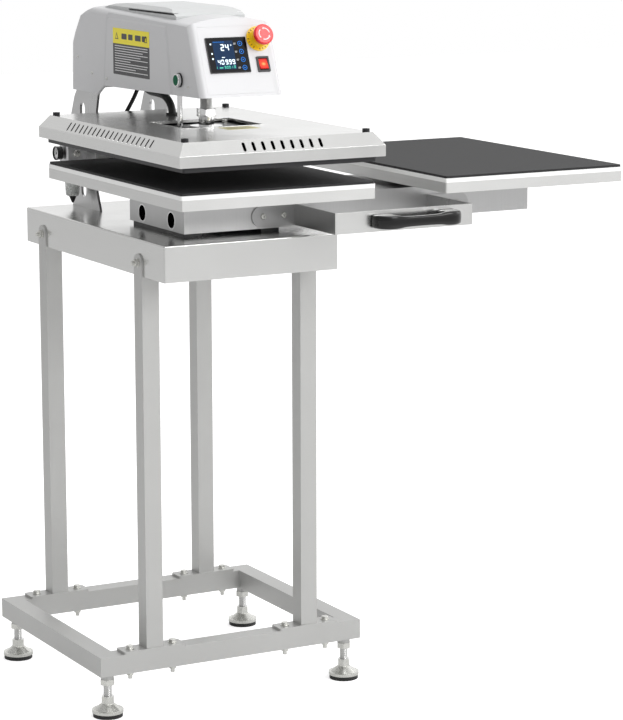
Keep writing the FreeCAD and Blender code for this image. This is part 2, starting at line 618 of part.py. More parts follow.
def cover_screw_places():
    return [(sx * COVER_SCREW_X, sy * COVER_SCREW_Y) for sx in (-1, 1) for sy in (-1, 1)]


def hub_screw_places():
    return [(sx * HUB_POST_DX, sy * HUB_POST_DY) for sx in (-1, 1) for sy in (-1, 1)]


# ---------------------------------------------------------------------------
# Carriage and the two lower platens
# ---------------------------------------------------------------------------
def shaft_ys():
    return (BEAM_Y - SHAFT_SPACING / 2, BEAM_Y + SHAFT_SPACING / 2)


def boss_places():
    return [(cx + sx * BOSS_DX, BEAM_Y + sy * BOSS_DY)
            for cx in (0.0, PITCH) for sx in (-1, 1) for sy in (-1, 1)]


def tab_screw_xs():
    tips = []
    for side in (-1, 1):
        for inset in (24.0, 68.0):
            tips.append(BRACKET_X + side * (BRACKET_HALF + BRACKET_TAB - inset))
    return tips


def carriage():
    y0, y1 = BEAM_FRONT, BEAM_FRONT + BEAM_D
    sheet = BEAM_SHEET
    beam = box(BEAM_X0, BEAM_X1, y0, y1, BEAM_Z, BEAM_TOP)
    beam = beam.cut(box(BEAM_X0 + sheet, BEAM_X1 - sheet, y0 + sheet, y1 - sheet, BEAM_Z - 1, BEAM_TOP - sheet))
    for y in shaft_ys():
        beam = beam.cut(cyl(SHAFT_R, BEAM_X1 - BEAM_X0 + 20, V(BEAM_X0 - 10, y, SHAFT_Z), X))
    for x, y in boss_places():
        beam = beam.cut(cyl(BOLT_R + BOLT_CLEAR, 20, V(x, y, BEAM_TOP - 10)))
    for x in tab_screw_xs():
        beam = beam.cut(cyl(3.0, 20, V(x, y0 - 10, tab_screw_z()), Y))
    export("carriage_beam", beam)

    shafts = []
    for y in shaft_ys():
        shaft = cyl(SHAFT_R, BEAM_X1 - BEAM_X0, V(BEAM_X0, y, SHAFT_Z), X)
        shafts.append(shaft.cut(cyl(SHAFT_BORE_R, BEAM_X1 - BEAM_X0 + 2, V(BEAM_X0 - 1, y, SHAFT_Z), X)))
    export("carriage_shafts", *shafts)

    screws = []
    for x, y in boss_places():
        under = V(x, y, BEAM_TOP - BEAM_SHEET)
        shank = cyl(BOLT_R, BEAM_SHEET + PLATE_BOSS + 8, under)
        screws.append(fused([shank, cyl(7.0, 5.0, under - Z * 5.0)]))
    for x in tab_screw_xs():
        at = V(x, TAB_FACE, tab_screw_z())
        shank = cyl(2.9, BRACKET_T + BEAM_SHEET + 4, at, Y)
        head = rounded(cyl(5.8, 3.4, at, -Y), 2.2, lambda e: e.Vertexes[0].Y < at.y - 3)
        drive = hexagon(4.0, 3.0, at - Y * 3.5, Y)
        screws.append(fused([shank, head]).cut(drive))
    for x in handle_screw_xs():
        at = V(x, PLATE_FACE + BRACKET_T, tab_screw_z())
        shank = cyl(2.45, BRACKET_T + 14, at, -Y)
        head = rounded(cyl(4.6, 3.4, at, Y), 1.2, lambda e: e.Vertexes[0].Y > at.y + 3)
        screws.append(fused([shank, head]).cut(hexagon(3.0, 3.0, at + Y * 2.0, Y)))
    export("carriage_screws", *screws)

    plates, boards, pads = [], [], []
    for cx in (0.0, PITCH):
        plate = slab(PLATEN_W, PLATEN_D, PLATE_T, V(cx, 0, PLATE_Z), 3.0)
        places = [p for p in boss_places() if abs(p[0] - cx) < PLATEN_W / 2]
        bosses = [cyl(BOSS_R, PLATE_BOSS, V(x, y, BEAM_TOP)) for x, y in places]
        plate = fused([plate, *bosses])
        holes = [cyl(BOLT_R, PLATE_BOSS + 8, V(x, y, BEAM_TOP)) for x, y in places]
        plates.append(plate.cut(Part.makeCompound(holes)))
        boards.append(slab(PLATEN_W, PLATEN_D, BOARD_T, V(cx, 0, PLATE_Z + PLATE_T), 3.0))
        pads.append(slab(PLATEN_W - 2, PLATEN_D - 2, PAD_T, V(cx, 0, WORK), 5.0))
    export("lower_platens", *plates)
    export("platen_boards", *boards)
    export("platen_pads", *pads)


def bearing_blocks():
    """Black self-lubricating blocks on the table that the carriage shafts run in."""
    y0 = BEAM_FRONT + BEAM_SHEET + BLOCK_SIDE_GAP
    y1 = BEAM_FRONT + BEAM_D - BEAM_SHEET - BLOCK_SIDE_GAP
    stop = BEAM_OVERHANG - BEAM_SHEET - STOP_GAP
    blocks = []
    for side in (-1, 1):
        x0, x1 = sorted((side * stop, side * (stop - BLOCK_W)))
        block = box(x0, x1, y0, y1, BOX_TOP, SHAFT_Z + SHAFT_R + BLOCK_ABOVE)
        block = rounded(block, 4.0, lambda e: abs(e.BoundBox.ZMin - e.BoundBox.ZMax) < 1e-6
                        and e.BoundBox.ZMin > SHAFT_Z and e.BoundBox.YLength < 1e-6)
        for y in shaft_ys():
            block = block.cut(cyl(SHAFT_R + SHAFT_CLEAR, BLOCK_W + 20, V(x0 - 10, y, SHAFT_Z), X))
        blocks.append(block)
    export("bearing_blocks", *blocks)


def tab_screw_z():
    return BRACKET_Z + BRACKET_H / 2


def handle_bracket():
    """Hat-shaped strap: two tabs on the carriage, two side walls and a front plate."""
    half, t, tip = BRACKET_HALF, BRACKET_T, BRACKET_HALF + BRACKET_TAB
    z0, z1 = BRACKET_Z, BRACKET_Z + BRACKET_H
    pieces = [box(-half, half, PLATE_FACE, PLATE_FACE + t, z0, z1)]
    for side in (-1, 1):
        wall = sorted((side * half, side * (half - t)))
        pieces.append(box(*wall, PLATE_FACE, TAB_FACE + t, z0, z1))
        tab = sorted((side * (half - t), side * (tip - BRACKET_H / 2)))
        pieces.append(box(*tab, TAB_FACE, TAB_FACE + t, z0, z1))
        pieces.append(cyl(BRACKET_H / 2, t, V(side * (tip - BRACKET_H / 2), TAB_FACE, (z0 + z1) / 2), Y))
    strap = fused(pieces)
    strap.translate(V(BRACKET_X, 0, 0))
    for x in tab_screw_xs():
        strap = strap.cut(cyl(3.2, 20, V(x, TAB_FACE - 10, tab_screw_z()), Y))
    for x in handle_screw_xs():
        strap = strap.cut(cyl(2.7, 20, V(x, PLATE_FACE - 10, tab_screw_z()), Y))
    export("handle_bracket", strap)


def handle_screw_xs():
    centre = BRACKET_X + HANDLE_X
    inset = HANDLE_L / 2 - HANDLE_FOOT_L / 2
    return (centre - inset, centre + inset)


def handle():
    """Bow handle: two feet joined by a grip that stands off the plate."""
    centre = BRACKET_X + HANDLE_X
    z_mid = tab_screw_z()
    half, h = HANDLE_L / 2, HANDLE_H / 2
    grip_y = PLATE_FACE - HANDLE_OUT
    back = grip_y + HANDLE_GRIP_T
    points = [V(-half, PLATE_FACE, 0), V(-half + 6, grip_y + 7, 0), V(-half + 16, grip_y, 0),
              V(half - 16, grip_y, 0), V(half - 6, grip_y + 7, 0), V(half, PLATE_FACE, 0),
              V(half - HANDLE_FOOT_L, PLATE_FACE, 0), V(half - HANDLE_FOOT_L - 8, back, 0),
              V(-half + HANDLE_FOOT_L + 8, back, 0), V(-half + HANDLE_FOOT_L, PLATE_FACE, 0)]
    body = prism([p + V(0, 0, -h) for p in points], V(0, 0, 2 * h))
    body = rounded(body, 5.0, lambda e: upright_edge(e) and e.Vertexes[0].Y < back - 1)
    body = rounded(body, 2.5, lambda e: abs(e.BoundBox.ZLength) < 1e-6 and e.BoundBox.YMax < grip_y + 3)
    for side in (-1, 1):
        waist = box(-half + HANDLE_FOOT_L + 14, half - HANDLE_FOOT_L - 14, grip_y - 5, back + 5,
                    side * h - 2.0, side * h + 2.0)
        body = body.cut(waist)
    body.translate(V(centre, 0, z_mid))
    for x in handle_screw_xs():
        body = body.cut(cyl(2.5, 18, V(x, PLATE_FACE + 1, z_mid), -Y))
    export("handle", body)


# ---------------------------------------------------------------------------
# Head shell, panel and lid
# ---------------------------------------------------------------------------
def head_form(inset, half):
    """Outer or inner form of the head: its side outline cut by the rounded crown."""
    lean = (HEAD_FRONT_TOP - HEAD_FRONT_LOW) / (HEAD_FRONT_TOP_Z - HEAD_FRONT_Z)
    high = LID_TOP + 10
    front = inset * 1.08
    outline = [(HEAD_FRONT_LOW + front + lean * inset, HEAD_FRONT_Z + inset),
               (HEAD_NOTCH_Y + inset * 0.3, HEAD_NOTCH_Z + inset), (LOBE_Y + inset, LOBE_Z + inset * 0.4),
               (LOBE_Y + inset, LOBE_Z - inset * 8), (HEAD_REAR - inset, LOBE_Z - inset * 8),
               (HEAD_REAR - inset, LOBE_Z), (HEAD_REAR - REAR_DROP - inset, LOBE_Z + REAR_RISE), (409 - inset, 250 - inset * 0.3),
               (383 - inset * 0.7, 283 - inset), (330, 303 - inset), (243, 314 - inset), (150, high),
               (HEAD_FRONT_LOW + front + lean * (high - HEAD_FRONT_Z), high)]
    if not inset:
        del outline[3:5]
    body = side_prism(outline, -half, half)
    crown_z = WORK + HEAD_CROWN - inset
    shoulder = crown_z - 10.0
    top = half - SHOULDER_R * 0.8
    low = WORK + LOBE_Z - 60
    a, b = V(-half, -300, low), V(-half, -300, shoulder - SHOULDER_R)
    c, d = V(-top, -300, shoulder), V(top, -300, shoulder)
    e, f = V(half, -300, shoulder - SHOULDER_R), V(half, -300, low)
    bulge = SHOULDER_R * 0.28
    left = V(-half + bulge, -300, shoulder - bulge * 0.9)
    right = V(half - bulge, -300, shoulder - bulge * 0.9)
    edges = [Part.LineSegment(a, b), Part.Arc(b, left, c), Part.Arc(c, V(0, -300, crown_z), d),
             Part.Arc(d, right, e), Part.LineSegment(e, f), Part.LineSegment(f, a)]
    face = Part.Face(Part.Wire([s.toShape() for s in edges]))
    crown = face.extrude(V(0, 900, 0))
    crown.rotate(V(0, HEAD_FRONT_TOP, crown_z), X, HEAD_RISE)
    return body.common(crown).common(plan_form(inset, half))


def side_steps():
    """What is taken off each side so that the rear quarter and the side panel stand out in steps."""
    def sunk(outline, mouth, depth):
        outer = [V(-HEAD_HALF - 0.01, y, WORK + z) for y, z in mouth]
        inner = [V(-HEAD_HALF + depth, y, WORK + z) for y, z in outline]
        wires = [Part.makePolygon([*ring, ring[0]]) for ring in (outer, inner)]
        body = Part.makeLoft(wires, True, True)
        cap = prism(outer, V(-5, 0, 0))
        return body.fuse(cap)

    c = SIDE_CHAMFER
    low, high = HEAD_NOTCH_Z - 60, LID_TOP + 20
    front = [(-300, low), (-43, low), (-8, 284), (252, 287), (252, high), (-300, high)]
    front_mouth = [(-300, low), (-43 + c, low), (-8 + c, 284 - c), (252 + c, 287 - c), (252 + c, high), (-300, high)]
    panel = [(-300, low), (282, low), (257, 275), (257, high), (-300, high)]
    panel_mouth = [(-300, low), (285, low), (260, 275), (260, high), (-300, high)]
    left = sunk(front, front_mouth, SIDE_STEP).fuse(sunk(panel, panel_mouth, PANEL_STEP))
    return left.fuse(mirrored_x(left))


def plan_form(inset, half):
    """Plan of the head with rounded corners, leaning with the front and rear faces."""
    lean = (HEAD_FRONT_TOP - HEAD_FRONT_LOW) / (HEAD_FRONT_TOP_Z - HEAD_FRONT_Z)
    height = 220.0
    z0 = HEAD_FRONT_Z - 60.0

    def swept(y0, y1, corner, slope, rear):
        plan = box(-half, half, y0, y1, 0, 1)
        near = y1 if rear else y0
        plan = rounded(plan, corner, lambda e: upright_edge(e) and abs(e.Vertexes[0].Y - near) < 1e-6)
        face = next(f for f in plan.Faces if abs(f.CenterOfMass.z) < 1e-6)
        solid = face.extrude(V(0, slope * height, height))
        solid.translate(V(0, 0, WORK + z0))
        return solid

    front_y = HEAD_FRONT_LOW + inset * 1.08 - lean * 60.0
    front = swept(front_y, 900.0, FRONT_CORNER_R - inset, lean, False)
    rear = swept(-600.0, HEAD_REAR + 3.0 - inset, REAR_CORNER_R - inset, -0.05, True)
    return front.common(rear)


def head():
    outer = head_form(0.0, HEAD_HALF)
    shell = outer.cut(head_form(HEAD_WALL, HEAD_INNER_HALF))
    shell = shell.cut(side_steps())
    inner = HEAD_INNER_HALF
    notch = box(-inner, inner, HEAD_NOTCH_Y + 4, LOBE_Y + 60, WORK + LOBE_Z - 30, WORK + ARM_LOW)
    ram_hole = cyl(ROD_R + 13, 30, V(0, 0, WORK + HEAD_NOTCH_Z - 8))
    guide_hole = cyl(GUIDE_R + 4, 30, V(GUIDE_X, 0, WORK + HEAD_NOTCH_Z - 8))
    start_hole = cyl(START_R - 2.0, 30, V(-HEAD_HALF - 5, START_Y, WORK + START_Z), X)
    inlet_hole = box(-24, 24, HEAD_REAR - 20, HEAD_REAR + 10, WORK + INLET_Z - 14, WORK + INLET_Z + 14)
    gap = PANEL_SEAM
    window = on_panel(box(-PANEL_HALF - gap, PANEL_HALF + gap, PANEL_LOW - gap, PANEL_HIGH + gap, -9, 6))
    top_hole = box(-LID_HALF + 12, LID_HALF - 12, LID_FRONT + 16, LID_REAR - 90,
                   WORK + HEAD_CROWN - 25, WORK + LID_TOP + 5)
    for tool in (notch, ram_hole, guide_hole, start_hole, inlet_hole, window, top_hole):
        shell = shell.cut(tool)
    shell = max(shell.Solids, key=lambda s: s.Volume)
    export("head_shell", shell)

    panel = box(-PANEL_HALF, PANEL_HALF, PANEL_LOW, PANEL_HIGH, -PANEL_T, 0)
    dx, dy = DISPLAY_AT
    panel = panel.cut(box(dx - DISPLAY_W / 2 + 3, dx + DISPLAY_W / 2 - 3, dy - DISPLAY_H / 2 + 3,
                          dy + DISPLAY_H / 2 - 3, -10, 5))
    rx, ry = ROCKER_AT
    panel = panel.cut(box(rx - ROCKER_W / 2 + 2, rx + ROCKER_W / 2 - 2, ry - ROCKER_H / 2 + 2,
                          ry + ROCKER_H / 2 - 2, -10, 5))
    panel = panel.cut(cyl(11.3, 20, V(*ESTOP_AT, -10)))
    export("head_front_panel", on_panel(panel))
    export("head_top_lid", top_lid(outer))


def top_lid(shell_form):
    """Raised lid along the crown: low upright walls with a slit in each, then sloping sides and a flat top."""
    def form(inset):
        low = HEAD_CROWN - 40
        outline = [(LID_FRONT + inset, low), (LID_FRONT + inset, LID_SHOULDER - 7 - inset * 0.5),
                   (LID_FRONT + 10 + inset * 0.5, LID_SHOULDER - 2 - inset),
                   (LID_FRONT + 34, LID_SHOULDER + 5 - inset), (LID_FRONT + 84, LID_TOP - inset),
                   (205, LID_TOP - inset), (262, LID_TOP - 4 - inset), (LID_REAR - 16 - inset, LID_SHOULDER - 8 - inset),
                   (LID_REAR - inset, LID_SHOULDER - 22 - inset * 0.5), (LID_REAR - inset, low)]
        half, top_half = LID_HALF - inset, LID_TOP_HALF - inset * 0.7
        body = side_prism(outline, -half, half)
        section = [V(-half, -200, WORK + low), V(-half, -200, WORK + LID_SHOULDER - inset * 0.5),
                   V(-top_half, -200, WORK + LID_TOP - 1 - inset), V(0, -200, WORK + LID_TOP + 3 - inset),
                   V(top_half, -200, WORK + LID_TOP - 1 - inset), V(half, -200, WORK + LID_SHOULDER - inset * 0.5),
                   V(half, -200, WORK + low)]
        return body.common(prism(section, V(0, 700, 0)))

    lid = form(0.0).cut(form(LID_WALL)).cut(shell_form)
    for side in (-1, 1):
        x0, x1 = sorted((side * (LID_HALF - 10), side * (LID_HALF + 5)))
        lid = lid.cut(box(x0, x1, LID_FRONT + 10, 190, WORK + SLIT_Z, WORK + SLIT_Z + SLIT_H))
    return max(lid.Solids, key=lambda s: s.Volume)


# ---------------------------------------------------------------------------
# Controls
# ---------------------------------------------------------------------------
def controls():
    dx, dy = DISPLAY_AT
    w, h = DISPLAY_W / 2, DISPLAY_H / 2
    glass = box(dx - w, dx + w, dy - h, dy + h, 0, 1.6)
    glass = rounded(glass, 1.5, upright_edge)
    housing = box(dx - w + 3.3, dx + w - 3.3, dy - h + 3.3, dy + h - 3.3, -14, 0)
    export("display_module", on_panel(fused([glass, housing])))

    rx, ry = ROCKER_AT
    rw, rh = ROCKER_W / 2, ROCKER_H / 2
    bezel = rounded(box(rx - rw, rx + rw, ry - rh, ry + rh, 0, 2.4), 1.5, upright_edge)
    barrel = box(rx - rw + 2.3, rx + rw - 2.3, ry - rh + 2.3, ry + rh - 2.3, -20, 0)
    well = box(rx - rw + 3.6, rx + rw - 3.6, ry - rh + 3.6, ry + rh - 3.6, -12, 6)
    pivots = cyl(ROCKER_PIN_R + ROCKER_PIN_CLEAR, 2 * rw - 5.0, V(rx + 2.5 - rw, ry, ROCKER_PIVOT), X)
    export("rocker_bezel", on_panel(fused([bezel, barrel]).cut(well).cut(pivots)))

    key_w = rw - 4.2
    tip = rh - 4.6
    high = (-tip * cos(radians(ROCKER_THROW)), tip * sin(radians(ROCKER_THROW)) + 1.2)
    outline = [V(-key_w, *high), V(-key_w, 0, 2.6), V(-key_w, tip, 1.2), V(-key_w, tip - 1.3, -2.0),
               V(-key_w, 2.5, -6.0), V(-key_w, -2.5, -6.0), V(-key_w, -tip + 1.5, -1.0)]
    key = prism(outline, V(2 * key_w, 0, 0))
    key = key.fuse(cyl(ROCKER_PIN_R, 2 * rw - 5.5, V(2.75 - rw, 0, 0), X)).removeSplitter()
    key.translate(V(rx, ry, ROCKER_PIVOT))
    export("rocker_switch", on_panel(key))

    ex, ey = ESTOP_AT
    disc = cyl(ESTOP_DISC_R, 1.6, V(ex, ey, 0))
    collar = cone(17.0, 15.0, 8.0, V(ex, ey, 1.6))
    body = cyl(11.0, 26.0, V(ex, ey, -26.0))
    base = fused([disc, collar, body]).cut(cyl(8.3, 34, V(ex, ey, -20)))
    export("estop_base", on_panel(base))
    stem = cyl(8.0, 30.0, V(ex, ey, -13.0)).fuse(cyl(5.0, 8.0, V(ex, ey, 16.5)))
    export("estop_stem", on_panel(stem.removeSplitter()))
    cap_z = 17.5
    skirt = cone(13.0, ESTOP_CAP_R, 5.0, V(ex, ey, cap_z))
    drum = cyl(ESTOP_CAP_R, 7.0, V(ex, ey, cap_z + 5.0))
    cap = fused([skirt, drum])
    cap = rounded(cap, 3.0, lambda e: len(e.Vertexes) == 1 and e.Vertexes[0].Z > cap_z + 11.5)
    cap = cap.cut(cyl(5.1, 7.6, V(ex, ey, cap_z - 0.5)))
    export("estop_cap", on_panel(cap))

    wall_x = -HEAD_HALF + SIDE_STEP
    at = V(wall_x, START_Y, WORK + START_Z)
    ring = cyl(START_R - 1.0, 9.0, at, -X)
    ring = rounded(ring, 1.5, lambda e: len(e.Vertexes) == 1 and e.Vertexes[0].X < wall_x - 8.5)
    ring = ring.fuse(cyl(START_R, 3.0, at, -X))
    barrel = cyl(START_R - 2.3, 28.0, at + X * 28.0, -X)
    ring = fused([ring, barrel]).cut(cyl(START_R - 3.4, 26.0, at - X * 10.0, X))
    export("start_button_ring", ring)
    button = cyl(START_R - 3.7, 12.0, at - X * 9.8, X)
    button = rounded(button, 1.2, lambda e: len(e.Vertexes) == 1 and e.Vertexes[0].X < wall_x - 9)
    export("start_button", button)

    board = box(-60, 40, 20, 110, -38, -36.4)
    chips = [box(-50, -20, 60, 95, -36.4, -24), box(-5, 25, 35, 60, -36.4, -28), box(-12, 20, 75, 100, -36.4, -18.5)]
    posts = [cyl(2.8, 36.4 - PANEL_T, V(x, y, -36.4)) for x in (-57, 36) for y in (24, 106)]
    export("control_board", on_panel(fused([board, *chips, *posts])))

    flange = box(-28, 28, 0, 3, -18, 18)
    body = box(-23.5, 23.5, -24, 0, -13.5, 13.5)
    well = box(-20, 20, -18, 5, -10, 10)
    pins = [box(x - 1, x + 1, -18, -3, -3, 3) for x in (-9, 0, 9)]
    inlet = fused([fused([flange, body]).cut(well), *pins])
    inlet.rotate(V(0, 0, 0), X, degrees(atan2(REAR_DROP, REAR_RISE)))
    inlet.translate(V(0, HEAD_REAR - REAR_DROP * (INLET_Z - LOBE_Z) / REAR_RISE, WORK + INLET_Z))
    export("power_inlet", inlet)


# ---------------------------------------------------------------------------
# Air preparation, valve and hoses
# ---------------------------------------------------------------------------
def air_parts():
    z = WORK + FR_Z
    half = FR_BODY / 2
    body = slab(FR_BODY, FR_BODY, FR_BODY, V(FR_X, FR_Y, z - half), 5.0)
    bonnet = cyl(14.0, 12.0, V(FR_X, FR_Y, z + half))
    neck = cyl(15.0, 6.0, V(FR_X, FR_Y, z - half - 6.0))
    lug = box(FR_X + half - 3, -UPRIGHT_X, FR_Y - half + 2, FR_Y - half + 10, z - 14, z + 14)
    spindle = cyl(SPINDLE_R, 24.0, V(FR_X, FR_Y, z + half))
    body = fused([body, bonnet, spindle, neck, lug])
    for axis in (X, -X, Y, -Y):
        body = body.cut(cyl(5.0, 12.0, V(FR_X, FR_Y, z) + axis * (half - 10), axis))
    export("regulator_body", body)

    bowl_top = z - half - 6.0
    taper = cone(BOWL_R, BOWL_TIP_R, BOWL_L, V(FR_X, FR_Y, bowl_top), -Z)
    taper = rounded(taper, 5.0, lambda e: len(e.Vertexes) == 1 and e.Vertexes[0].Z < bowl_top - BOWL_L + 1)
    hollow = cone(BOWL_R - 2.5, BOWL_TIP_R - 2.5, BOWL_L - 4, V(FR_X, FR_Y, bowl_top + 0.01), -Z)
    drain = cone(8.0, 2.0, 14.0, V(FR_X, FR_Y, bowl_top - BOWL_L), -Z)
    export("filter_bowl", fused([taper.cut(hollow), drain]))

    knob_z = z + half + 12.5
    knob = cyl(KNOB_R, KNOB_H, V(FR_X, FR_Y, knob_z))
    for k in range(16):
        angle = radians(22.5 * k)
        groove = cyl(1.4, KNOB_H - 6, V(FR_X + (KNOB_R + 0.4) * cos(angle), FR_Y + (KNOB_R + 0.4) * sin(angle), knob_z - 1))
        knob = knob.cut(groove)
    knob = knob.cut(cyl(SPINDLE_R + SPINDLE_CLEAR, 15.0, V(FR_X, FR_Y, knob_z - 1)))
    export("regulator_knob", knob)

    face = V(FR_X - half, FR_Y, z)
    stem = cyl(4.9, 10.0 + 4.0, face + X * 9.5, -X)
    case = cyl(GAUGE_R, GAUGE_T, face - X * 4.0, -X)
    case = case.cut(cyl(GAUGE_R - 0.9, 3.0, face - X * (4.0 + GAUGE_T - 2.6), -X))
    pin = cyl(1.0, 1.2, face - X * (4.0 + GAUGE_T - 2.7), -X)
    export("pressure_gauge", fused([stem, case, pin]))
    dial = face - X * (4.0 + GAUGE_T - 1.3)
    needle = box(dial.x - 0.5, dial.x, FR_Y - 0.7, FR_Y + 0.7, z - 3.0, z + GAUGE_R - 4.0)
    needle = needle.fuse(cyl(2.0, 0.5, dial, -X)).cut(cyl(1.06, 4, dial + X * 2, -X))
    export("gauge_needle", needle.removeSplitter())

    def fitting(at, axis, nose):
        thread = cyl(4.9, 9.5, at - axis * 9.5, axis)
        hexa = hexagon(13.0, 6.0, at, axis)
        sleeve = cyl(6.2, nose, at + axis * 6.0, axis)
        return fused([thread, hexa, sleeve])

    outlet = fitting(face + X * FR_BODY, X, 7.0)
    plug = fitting(V(FR_X, FR_Y - half, z), -Y, 4.0)
    inlet = fitting(V(FR_X, FR_Y + half, z), Y, 3.0)
    nipple = cyl(4.5, 22.0, V(FR_X, FR_Y + half + 9.0, z), Y)
    nipple = nipple.fuse(cone(6.0, 4.5, 5.0, V(FR_X, FR_Y + half + 20.0, z), Y))
    inlet = fused([inlet, nipple]).cut(cyl(2.5, 60, V(FR_X, FR_Y + half, z), Y))
    export("air_fittings", outlet, plug, inlet)

    vx, vy, vz = VALVE
    body = box(vx - 14, vx + 14, vy - 30, vy + 30, vz, vz + 26)
    coil = box(vx - 12, vx + 12, vy - 14, vy + 14, vz + 26, vz + 58)
    export("solenoid_valve", fused([body, coil]))
    hoses = [tube_path("supply hose", [V(*p) for p in HOSE], HOSE_R)]
    for name, points in (("lower cylinder hose", HOSE_LOW), ("upper cylinder hose", HOSE_HIGH)):
        hoses.append(tube_path(name, [V(*p) for p in points], 3.0))
    export("air_hoses", *hoses)
    export("heater_conduit", tube_path("heater conduit", [V(*p) for p in CONDUIT], CONDUIT_R))


VALVE = (ARM_INNER - 14.0, 250.0, WORK + 190.0)
HOSE = [(FR_X + FR_BODY / 2 + 13.0, FR_Y, WORK + FR_Z), (-55.0, FR_Y, WORK + FR_Z), (-38.0, 391.0, WORK + 24.0),
        (-26.0, 366.0, WORK + 52.0), (-14.0, 338.0, WORK + 86.0), (15.0, 334.0, WORK + 139.0),
        (24.0, 346.0, WORK + 168.0), (38.0, 345.0, WORK + 192.0), (52.0, 331.0, WORK + 206.0),
        (60.0, 306.0, WORK + 207.0), (VALVE[0], VALVE[1] + 30.0, VALVE[2] + 13.0)]
PORT_LOW = CAP_Z + CAP_LOW_T / 2
PORT_HIGH = CAP_HIGH_Z + CAP_HIGH_T / 2
HOSE_LOW = [(VALVE[0] - 6, VALVE[1] - 30.0, VALVE[2] + 10.0), (50.0, 188.0, PORT_LOW + 13.0),
            (36.0, 150.0, PORT_LOW + 8.0), (18.0, 112.0, PORT_LOW + 3.0), (4.0, 78.0, PORT_LOW + 0.5),
            (0.0, CAP_HALF - 4.0, PORT_LOW)]
HOSE_HIGH = [(VALVE[0] + 6, VALVE[1] - 30.0, VALVE[2] + 16.0), (64.0, 188.0, PORT_HIGH - 63.0),
             (50.0, 152.0, PORT_HIGH - 43.0), (28.0, 118.0, PORT_HIGH - 21.0), (6.0, 82.0, PORT_HIGH - 5.0),
             (0.0, CAP_HALF - 4.0, PORT_HIGH)]
CONDUIT = [(16.0, 328.0, WORK + 182.0), (16.0, 322.0, WORK + 159.0), (16.0, 309.0, WORK + 142.0),
           (16.0, 283.0, WORK + 134.0), (16.0, 250.0, WORK + 134.0), (16.0, 217.0, WORK + 132.0),
           (16.0, 193.0, WORK + 120.0), (16.0, 182.5, WORK + 104.0), (16.0, 181.5, WORK + 86.0)]
GLAND = CONDUIT[-1][:2]

os.makedirs("parts", exist_ok=True)
stand()
stand_fasteners()
levelling_feet()
base_box()
uprights()
cylinder_parts()
heated_platen()
carriage()
bearing_blocks()
handle_bracket()
handle()
head()
controls()
air_parts()
print("origin shift", ORIGIN, "work height", round(WORK, 1), "travel", TRAVEL)
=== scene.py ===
import math
import random

import bmesh
import bpy
from mathutils import Matrix, Vector


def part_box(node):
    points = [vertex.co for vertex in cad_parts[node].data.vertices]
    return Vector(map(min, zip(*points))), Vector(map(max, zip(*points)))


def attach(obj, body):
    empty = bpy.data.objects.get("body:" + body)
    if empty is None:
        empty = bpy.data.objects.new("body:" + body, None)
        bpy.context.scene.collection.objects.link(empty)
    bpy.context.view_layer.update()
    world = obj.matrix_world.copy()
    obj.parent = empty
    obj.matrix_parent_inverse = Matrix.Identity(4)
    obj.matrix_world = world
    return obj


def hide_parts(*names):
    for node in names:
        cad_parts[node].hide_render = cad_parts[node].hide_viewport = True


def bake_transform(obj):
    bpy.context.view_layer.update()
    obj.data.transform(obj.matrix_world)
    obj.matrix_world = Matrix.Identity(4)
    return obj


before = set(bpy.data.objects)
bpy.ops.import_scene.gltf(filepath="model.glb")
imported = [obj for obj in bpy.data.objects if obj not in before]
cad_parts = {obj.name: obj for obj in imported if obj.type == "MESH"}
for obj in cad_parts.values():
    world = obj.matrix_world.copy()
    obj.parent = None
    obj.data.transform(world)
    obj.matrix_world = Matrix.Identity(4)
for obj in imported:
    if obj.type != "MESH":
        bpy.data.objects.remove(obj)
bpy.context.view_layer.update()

MM = 0.001
# Where the ram's axis and the lower board's top are in the row frame.
_nut_lo, _nut_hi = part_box("ram_nut")
RAM_X = (_nut_lo.x + _nut_hi.x) / 2
RAM_Y = (_nut_lo.y + _nut_hi.y) / 2
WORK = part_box("platen_boards")[1].z


def at(x, y, z):
    """A point given in millimetres from the ram's axis and the board's top, in the row frame."""
    return Vector((RAM_X + x * MM, RAM_Y + y * MM, WORK + z * MM))


# ---------------------------------------------------------------------------
# Camera
# ---------------------------------------------------------------------------
YAW, PITCH, ROLL = math.radians(28.47), math.radians(10.5), math.radians(-0.13)
# Millimetres on a 36 mm sensor, for a picture 720 lines high.
LENS = 2776.5 / 720 * 36.0


def make_camera():
    data = bpy.data.cameras.new("camera")
    camera = bpy.data.objects.new("camera", data)
    bpy.context.scene.collection.objects.link(camera)
    data.sensor_width = 36.0
    data.lens = LENS
    data.clip_start, data.clip_end = 0.05, 60.0
    camera.location = at(-2344.69, -4741.64, 616.14)
    heading = Matrix.Rotation(-YAW, 4, "Z")
    tip = Matrix.Rotation(math.pi / 2 - PITCH, 4, "X")
    camera.rotation_euler = (heading @ tip @ Matrix.Rotation(ROLL, 4, "Z")).to_euler()
    bpy.context.scene.camera = camera


make_camera()


# ---------------------------------------------------------------------------
# Materials
# ---------------------------------------------------------------------------
def new_material(name):
    material = bpy.data.materials.new(name)
    material.use_nodes = True
    tree = material.node_tree
    shader = tree.nodes["Principled BSDF"]
    return material, tree, shader


def ramp(tree, source, stops):
    made = tree.nodes.new("ShaderNodeValToRGB")
    elements = made.color_ramp.elements
    while len(elements) < len(stops):
        elements.new(0.5)
    for element, (position, value) in zip(elements, stops):
        element.position = position
        element.color = (*value, 1.0) if hasattr(value, "__len__") else (value, value, value, 1.0)
    tree.links.new(source, made.inputs["Fac"])
    return made.outputs["Color"]


def coordinates(tree, stretch=(1, 1, 1)):
    place = tree.nodes.new("ShaderNodeTexCoord")
    scale = tree.nodes.new("ShaderNodeMapping")
    scale.inputs["Scale"].default_value = stretch
    tree.links.new(place.outputs["Object"], scale.inputs["Vector"])
    return scale.outputs["Vector"]


